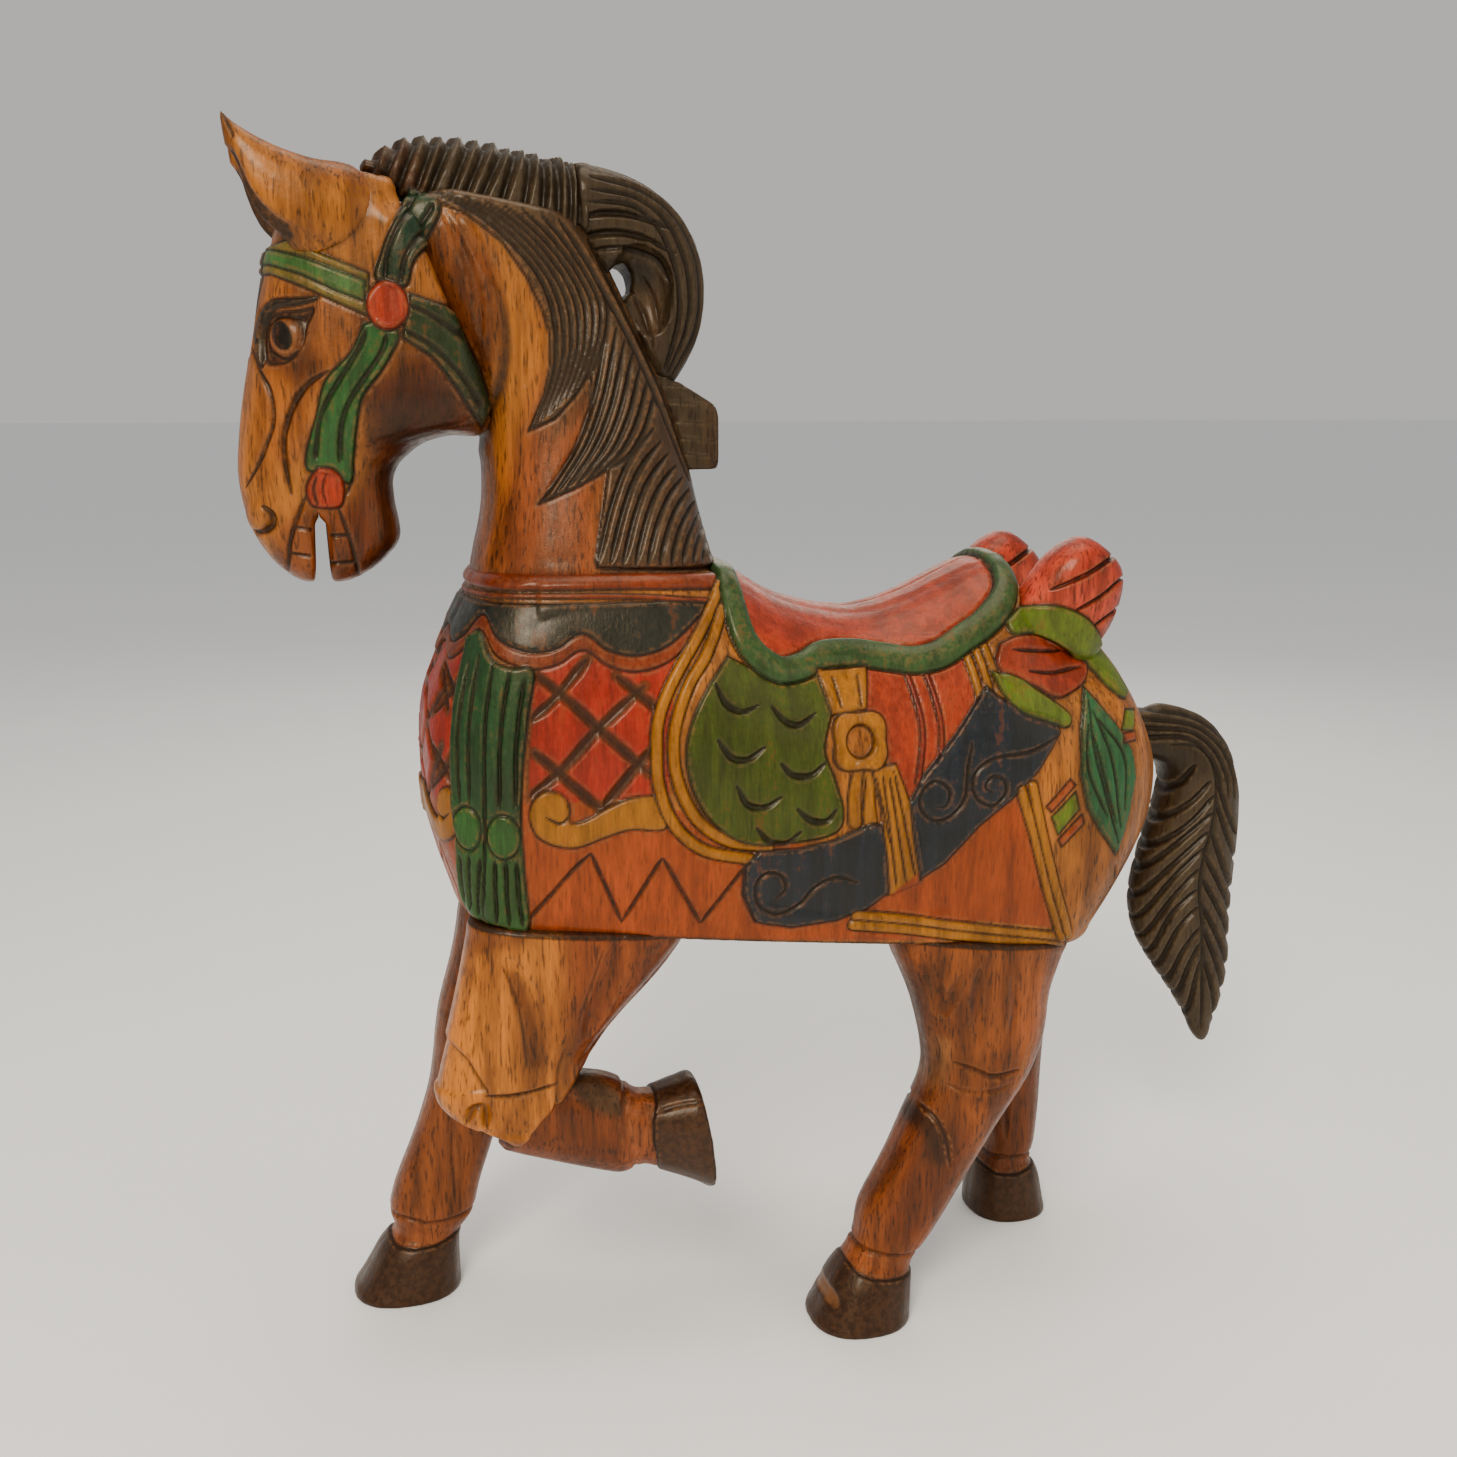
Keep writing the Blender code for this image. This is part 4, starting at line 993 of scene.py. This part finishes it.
def carve_hindleg(b):
    shadow_under_belly(b)
    b.stain_and_shade(0.45 * ramp(b.region([(56, 250), (80, 250), (76, 205), (84, 176), (64, 150),
                                  (50, 190)]), -8, 10))
    b.stain_and_shade(0.35 * ramp(b.region([(84, 186), (130, 186), (128, 150), (96, 148)]), -8, 8))
    b.tint([(128, 240), (170, 250), (150, 200), (128, 190)], srgb(176, 112, 52), 0.7, 10)
    b.tint([(60, 140), (100, 130), (80, 70), (40, 60)], srgb(112, 58, 28), 0.6, 12)
    b.groove([(71, 243), (73, 228), (78, 214), (86, 240)], 9, 2.4, dark=0.35)
    b.groove([(98, 244), (97, 225), (99, 205), (102, 192)], 10, 2.2, dark=0.25)
    b.groove([(120, 236), (124, 215), (121, 196)], 8, 1.6, dark=0.2)
    b.groove([(86, 179), (100, 173), (112, 168), (131, 170)], 5.5, 2.4, dark=0.65, rim=0.7)
    b.groove([(82, 164), (96, 159), (113, 158), (126, 161)], 4.5, 1.4, dark=0.4, rim=0.6)
    b.groove([(60, 152), (68, 147), (76, 140), (82, 126), (86, 106)], 4.5, 1.6, dark=0.6,
             rim=0.9)
    b.tint([(50, 150), (66, 146), (78, 138), (82, 112), (74, 112), (66, 132), (50, 134)],
           srgb(62, 36, 20), 0.8, 4)
    b.tint([(76, 196), (84, 190), (82, 166), (74, 160)], srgb(196, 146, 96), 0.7, 4)
    b.groove([(128, 158), (133, 170), (137, 184), (143, 192)], 1.8, 0.5, dark=0.0, rim=1.0)
    b.groove([(10, 54), (28, 52), (41, 49), (56, 46), (90, 44)], 5.0, 2.2, dark=0.5,
             facing=False, taper=0)
    b.tint([(5, 52), (80, 46), (80, 30), (5, 40)], PASTERN, 0.45, 3)
    carve_standing_hoof(b, [(-20, 46), (21, 42), (26, 37), (34, 34), (49, 32), (62, 31),
                            (90, 34)])
    b.panel(oval(10, 20, 3.5, 5), srgb(150, 110, 76), lift=-1.0, edge=1.5)


def carve_hindleg_far(b):
    shadow_under_belly(b)
    b.groove([(140, 45), (173, 46), (186, 45), (230, 45)], 4.5, 2.0, dark=0.5, facing=False,
             taper=0)
    b.groove([(176, 120), (178, 90), (180, 60)], 6, 1.8, dark=0.45)
    b.groove([(150, 200), (158, 180), (164, 160)], 8, 1.8, dark=0.3)
    carve_standing_hoof(b, [(130, 40), (165, 38), (172, 34), (186, 33), (203, 35),
                            (240, 38)])


# --------------------------------------------------------------------- tail and rolls

def carve_tail(b):
    """A leaf-like tail: one long vein, with gouged hairs that sweep down from it."""
    rib = dict(width=5.6, depth=2.8, taper=0.12, dark=0.8, facing=False, rim=0.8)
    b.strands([(220, 392), (252, 388), (285, 381), (308, 364), (321, 340), (322, 322)],
              [(220, 369), (250, 369), (276, 368), (292, 356), (301, 340), (304, 326)], 4,
              **rib)
    vein = [(262, 364), (283, 362), (295, 349), (299, 327), (297, 302), (293, 285),
            (292, 259), (297, 232), (301, 200), (308, 150)]
    b.groove(vein, 4.0, 2.0, taper=0.1, dark=0.8, facing=False)
    inner = (((282, 350), (272, 334), (252, 312)), ((294, 338), (279, 322), (250, 300)),
             ((298, 328), (279, 307), (248, 284)), ((297, 315), (275, 296), (244, 266)),
             ((295, 302), (271, 279), (244, 248)), ((292, 290), (270, 267), (250, 236)),
             ((290, 275), (270, 251), (255, 222)), ((290, 260), (272, 241), (262, 210)),
             ((292, 247), (277, 228), (269, 198)), ((296, 232), (284, 213), (277, 184)),
             ((298, 221), (290, 200), (286, 172)), ((300, 208), (297, 189), (296, 160)))
    outer = (((297, 342), (310, 314), (322, 296)), ((299, 323), (312, 296), (328, 272)),
             ((297, 302), (312, 272), (330, 246)), ((293, 285), (314, 254), (332, 224)),
             ((293, 268), (316, 234), (332, 204)), ((294, 250), (314, 218), (330, 188)),
             ((297, 232), (313, 202), (326, 172)), ((301, 208), (312, 182), (320, 156)))
    b.grooves(inner + outer, **rib)
    b.tint([(250, 366), (284, 362), (290, 345), (268, 336), (250, 350)], srgb(40, 30, 22),
           0.6, 6)


def carve_roll(b):
    """Blanket roll end with three slits; the right one sits a little forward and lower."""
    if b.name.endswith("right"):
        b.side = b.side + RIGHT_ROLL_SHIFT
    b.tint([(150, 515), (200, 515), (200, 488), (160, 490)], srgb(176, 70, 44), 0.7, 8)
    b.tint([(120, 470), (160, 460), (180, 440), (120, 430)], srgb(142, 70, 46), 0.6, 8)
    for line in (((146, 478), (167, 487), (184, 496), (200, 499)),
                 ((158, 462), (177, 472), (192, 482), (204, 484)),
                 ((172, 450), (184, 458), (196, 464), (204, 466))):
        b.groove(line, 4.4, 3.4, taper=0.3, dark=0.95, facing=False, rim=0.7)
    b.panel([(110, 440), (124, 450), (158, 441), (190, 414), (170, 400), (110, 400)],
            BLANKET, smooth=False)
    b.panel(RIBBON, LIME, lift=3.0, outlined=1.5)


# -------------------------------------------------------------------------- materials

class Nodes:
    """A short way to write a node material."""

    def __init__(self, name):
        self.material = bpy.data.materials.new(name)
        self.material.use_nodes = True
        self.tree = self.material.node_tree
        self.shader = self.tree.nodes["Principled BSDF"]
        self.object = self.add("ShaderNodeTexCoord").outputs["Object"]

    def add(self, kind, **settings):
        node = self.tree.nodes.new(kind)
        for key, value in settings.items():
            setattr(node, key, value)
        return node

    def put(self, socket, value):
        if isinstance(value, bpy.types.NodeSocket):
            self.tree.links.new(value, socket)
        else:
            socket.default_value = value

    def noise(self, scale, detail=3.0, stretch=(1, 1, 1), roughness=0.55, distortion=0.0):
        place = self.add("ShaderNodeMapping")
        self.put(place.inputs["Vector"], self.object)
        place.inputs["Scale"].default_value = stretch
        node = self.add("ShaderNodeTexNoise")
        self.put(node.inputs["Vector"], place.outputs["Vector"])
        node.inputs["Scale"].default_value = scale
        node.inputs["Detail"].default_value = detail
        node.inputs["Roughness"].default_value = roughness
        node.inputs["Distortion"].default_value = distortion
        return node.outputs["Fac"]

    def math(self, operation, a, b, clamp=False):
        node = self.add("ShaderNodeMath", operation=operation, use_clamp=clamp)
        self.put(node.inputs[0], a)
        self.put(node.inputs[1], b)
        return node.outputs[0]

    def range(self, value, low, high, to_low=0.0, to_high=1.0):
        node = self.add("ShaderNodeMapRange", interpolation_type="SMOOTHSTEP")
        for key, item in zip(("Value", "From Min", "From Max", "To Min", "To Max"),
                             (value, low, high, to_low, to_high)):
            self.put(node.inputs[key], item)
        return node.outputs["Result"]

    def mix(self, factor, a, b, blend="MIX"):
        node = self.add("ShaderNodeMix", data_type="RGBA", blend_type=blend)
        node.clamp_factor = True
        self.put(node.inputs["Factor"], factor)
        self.put(node.inputs["A"], a)
        self.put(node.inputs["B"], b)
        return node.outputs["Result"]

    def attribute(self, name):
        return self.add("ShaderNodeAttribute", attribute_name=name).outputs["Color"]

    def channels(self, colour):
        node = self.add("ShaderNodeSeparateColor")
        self.put(node.inputs["Color"], colour)
        return node.outputs

    def bump(self, height, strength, distance, normal=None):
        node = self.add("ShaderNodeBump")
        self.put(node.inputs["Height"], height)
        node.inputs["Strength"].default_value = strength
        node.inputs["Distance"].default_value = distance
        if normal is not None:
            self.put(node.inputs["Normal"], normal)
        return node.outputs["Normal"]


def rgba(colour):
    return (*(float(c) for c in colour), 1.0)


def carved_finish(name, gloss=0.34, rubbed_to=(192, 144, 100)):
    """Old varnished wood: stained grain and pores, paint worn off it, grime in the cuts, and
    painted shade.
    """
    n = Nodes(name)
    dark, worn, cover = list(n.channels(n.attribute("finish")))[:3]
    paint = n.attribute("paint")
    streaks = n.noise(90, 4, GRAIN_AXIS, 0.6, 0.4)
    pores = n.noise(620, 2, GRAIN_AXIS, 0.5)
    blotches = n.noise(14, 4, (1, 1, 0.6))
    fine = n.noise(260, 3)

    wood = n.mix(n.range(streaks, 0.3, 0.7), (0.50, 0.44, 0.38, 1), (1.32, 1.26, 1.15, 1))
    wood = n.mix(n.range(blotches, 0.45, 0.7), wood, (1.2, 1.12, 1.0, 1), "MULTIPLY")
    wood = n.mix(n.range(blotches, 0.5, 0.3), wood, (0.62, 0.56, 0.52, 1), "MULTIPLY")
    wood = n.mix(1.0, wood, paint, "MULTIPLY")
    wood = n.mix(n.range(pores, 0.50, 0.36), wood, (1.14, 1.14, 1.10, 1), "MULTIPLY")
    wood = n.mix(n.range(pores, 0.54, 0.68, 0.0, 0.65), wood, rgba(srgb(44, 20, 8)))

    coat = n.mix(n.range(blotches, 0.3, 0.75), (0.80, 0.80, 0.78, 1), (1.18, 1.16, 1.1, 1))
    coat = n.mix(n.range(fine, 0.35, 0.7), coat, (1.12, 1.12, 1.1, 1), "MULTIPLY")
    coat = n.mix(n.range(streaks, 0.60, 0.38), coat, (0.62, 0.60, 0.58, 1), "MULTIPLY")
    coat = n.mix(n.range(pores, 0.50, 0.36), coat, (1.20, 1.18, 1.14, 1), "MULTIPLY")
    coat = n.mix(1.0, coat, paint, "MULTIPLY")
    coat = n.mix(n.range(pores, 0.60, 0.74, 0.0, 0.4), coat, rgba(srgb(40, 22, 12)))

    flakes = n.range(n.math("ADD", streaks, n.math("MULTIPLY", fine, 0.45)), 0.80, 0.92)
    kept = n.math("MULTIPLY", cover, n.math("SUBTRACT", 1.0, n.math(
        "MULTIPLY", flakes, 0.55), clamp=True))
    bare = n.mix(0.6, wood, rgba(srgb(150, 92, 44)))
    colour = n.mix(kept, n.mix(cover, wood, bare), coat)

    rubbed = n.math("MULTIPLY", worn, n.range(fine, 0.38, 0.62, 0.0, RUB_STRENGTH))
    colour = n.mix(rubbed, colour, rgba(srgb(*rubbed_to)))
    # The dark channel holds grime in the cuts and painted shade; both darken the colour here
    grime_and_shade = n.math("MULTIPLY", n.range(dark, 0.08, 0.75), n.range(fine, 0.2, 0.6, 0.7, 1.0))
    grime_and_shade = n.math("MULTIPLY", grime_and_shade, GRIME_AND_SHADE_STRENGTH)
    colour = n.mix(grime_and_shade, colour, rgba(srgb(30, 15, 8)))
    n.put(n.shader.inputs["Base Color"], colour)

    polish = n.math("ADD", n.range(fine, 0.3, 0.7, gloss, gloss + 0.16),
                    n.math("MULTIPLY", dark, 0.25))
    n.put(n.shader.inputs["Roughness"], polish)
    n.shader.inputs["Specular IOR Level"].default_value = 0.28
    n.shader.inputs["Specular Tint"].default_value = (1.0, 0.80, 0.55, 1)
    n.shader.inputs["Coat Weight"].default_value = 0.14
    n.shader.inputs["Coat Roughness"].default_value = 0.2
    normal = n.bump(n.noise(420, 2), 0.25, 0.0008)
    normal = n.bump(pores, 0.35, 0.0006, normal)
    normal = n.bump(streaks, 0.3, 0.0010, normal)
    n.put(n.shader.inputs["Normal"], normal)
    return n.material


def dowel_finish():
    n = Nodes("beech_dowel_finish")
    grain = n.noise(180, 4, (1, 1, 0.15), 0.6)
    colour = n.mix(n.range(grain, 0.3, 0.7), rgba(srgb(168, 128, 84)), rgba(srgb(206, 170, 124)))
    n.put(n.shader.inputs["Base Color"], colour)
    n.put(n.shader.inputs["Roughness"], n.range(grain, 0.3, 0.7, 0.5, 0.65))
    n.put(n.shader.inputs["Normal"], n.bump(grain, 0.3, 0.0004))
    return n.material


# ------------------------------------------------------------- camera, light and floor

CAMERA_PLACE = (-0.2963, -0.9692, 0.5892)
CAMERA_DOWN, CAMERA_RIGHT = 11.404, 14.729      # degrees away from looking straight along +Y
SENSOR_WIDTH, LENS = 36.0, 39.53                # mm
NEAREST = 0.02
LIGHTS = (
    # name, place, width in metres, power in watts
    ("key", (-1.0, -1.9, 1.8), 1.0, 66),
    ("fill", (1.6, -1.7, 1.0), 1.6, 10),
    ("top", (0.1, 0.0, 2.4), 1.6, 28),
    ("back", (0.7, 2.0, 1.5), 1.6, 12),
)
LIT_PLACE = (0, 0, 0.35)
LAMP_COLOUR = (1.0, 0.88, 0.72)
ROOM_COLOUR, ROOM_STRENGTH = (1.0, 0.98, 0.94, 1), 0.55
FLOOR_HALF_SIZE, FLOOR_DROP = 60, 0.0005
FLOOR_DARK, FLOOR_LIGHT = (0.87, 0.89, 0.92, 1), (0.90, 0.92, 0.95, 1)


def set_the_stage():
    camera = bpy.data.objects.new("camera", bpy.data.cameras.new("camera"))
    camera.location = CAMERA_PLACE
    camera.rotation_euler = (radians(90 - CAMERA_DOWN), 0, radians(-CAMERA_RIGHT))
    camera.data.sensor_width = SENSOR_WIDTH
    camera.data.lens = LENS
    camera.data.clip_start = NEAREST
    bpy.context.scene.collection.objects.link(camera)
    bpy.context.scene.camera = camera

    for name, place, size, power in LIGHTS:
        light = bpy.data.lights.new(name, "AREA")
        light.shape = "DISK"
        light.size = size
        light.energy = power
        light.color = LAMP_COLOUR
        lamp = bpy.data.objects.new(name, light)
        lamp.location = place
        aim = Vector(LIT_PLACE) - lamp.location
        lamp.rotation_euler = aim.to_track_quat("-Z", "Y").to_euler()
        bpy.context.scene.collection.objects.link(lamp)

    world = bpy.data.worlds.new("studio")
    world.use_nodes = True
    background = world.node_tree.nodes["Background"]
    background.inputs["Color"].default_value = ROOM_COLOUR
    background.inputs["Strength"].default_value = ROOM_STRENGTH
    bpy.context.scene.world = world

    bm = bmesh.new()
    bmesh.ops.create_grid(bm, x_segments=1, y_segments=1, size=FLOOR_HALF_SIZE)
    mesh = bpy.data.meshes.new("floor")
    bm.to_mesh(mesh)
    bm.free()
    floor = bpy.data.objects.new("floor", mesh)
    floor.location = (0, 0, -FLOOR_DROP)
    bpy.context.scene.collection.objects.link(floor)
    n = Nodes("floor")
    speckle = n.noise(8, 3)
    n.put(n.shader.inputs["Base Color"], n.mix(speckle, FLOOR_DARK, FLOOR_LIGHT))
    n.shader.inputs["Roughness"].default_value = 0.8
    floor.data.materials.append(n.material)


set_the_stage()

FINISH = {
    "wood": carved_finish("varnished_wood"),
    "hair": carved_finish("dark_stained_wood", gloss=0.40, rubbed_to=(142, 124, 98)),
    "paint": carved_finish("worn_paint"),
}
PIECES = (
    # node, mesh spacing in mm, colour of the wood, finish, slot, carver
    ("body_left", 1.1, HONEY, "paint", "painted_wood", carve_body),
    ("body_right", 1.1, HONEY, "paint", "painted_wood", carve_body),
    ("neck", 1.1, HONEY, "wood", "honey_wood", carve_neck),
    ("head", 0.9, HONEY, "wood", "honey_wood", carve_head),
    ("ear_left", 0.8, HONEY, "wood", "honey_wood", carve_ear),
    ("ear_right", 0.8, HONEY, "wood", "honey_wood", carve_ear),
    ("mane_crest", 0.9, DARK_HAIR, "hair", "dark_hair", carve_crest),
    ("mane_curl", 0.9, DARK_HAIR, "hair", "dark_hair", carve_curl),
    ("support_block", 1.0, DARK_HAIR, "hair", "dark_hair", carve_block),
    ("foreleg_left_upper", 1.1, PALE_GOLD, "wood", "honey_wood", carve_foreleg_raised),
    ("foreleg_left_lower", 1.0, RED_BROWN, "wood", "red_brown_wood", carve_foreleg_shin),
    ("foreleg_right", 1.1, LEG_BROWN, "wood", "honey_wood", carve_foreleg_standing),
    ("hindleg_left", 1.1, LEG_BROWN, "wood", "honey_wood", carve_hindleg),
    ("hindleg_right", 1.1, RED_BROWN, "wood", "honey_wood", carve_hindleg_far),
    ("tail", 1.0, DARK_HAIR, "hair", "dark_hair", carve_tail),
    ("blanket_roll_left", 0.8, ROLL_RED, "paint", "red_paint", carve_roll),
    ("blanket_roll_right", 0.8, ROLL_RED, "paint", "red_paint", carve_roll),
)

# Glued joints: a point of the flat face in mm, the way out of the block, and for the
# neck's joint with the head how far from that point the push reaches
HEAD_OUT, CREST_UP, KNEE_OUT = (0.934, 0, 0.358), (0.162, 0, 0.987), (0.728, 0, -0.685)
AT_HEAD, AT_COLLAR, AT_CREST = (-220, 0, 645), (-110, 0, 491), (-180, 0, 697.5)
AT_SEAM, AT_CURL, AT_KNEE = (0, 0, 0), (-134, 0, 700), (-180, 0, 168.5)


def back(normal):
    return tuple(-n for n in normal)


JOINTS = {
    "body_left": ((AT_SEAM, (0, 1, 0)),),
    "body_right": ((AT_SEAM, (0, -1, 0)),),
    "neck": ((AT_HEAD, back(HEAD_OUT), 76), (AT_COLLAR, (0, 0, -1)), (AT_CREST, CREST_UP)),
    "head": ((AT_HEAD, HEAD_OUT), (AT_CREST, CREST_UP)),
    "mane_crest": ((AT_CREST, back(CREST_UP)), (AT_CURL, (1, 0, 0))),
    "mane_curl": ((AT_CURL, (-1, 0, 0)),),
    "foreleg_left_upper": ((AT_KNEE, KNEE_OUT),),
    "foreleg_left_lower": ((AT_KNEE, back(KNEE_OUT)),),
}

for node, spacing, wood, finish, slot, carve in PIECES:
    rounds = NECK_SMOOTHING if node == "neck" else SMOOTHING
    piece = Carving(node, spacing, wood, rounds, JOINTS.get(node, ()))
    carve(piece)
    piece.finish(FINISH[finish], slot)

dowel = dowel_finish()
for name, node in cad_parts.items():
    if "dowel" in name:
        node.data.materials.clear()
        node.data.materials.append(dowel)
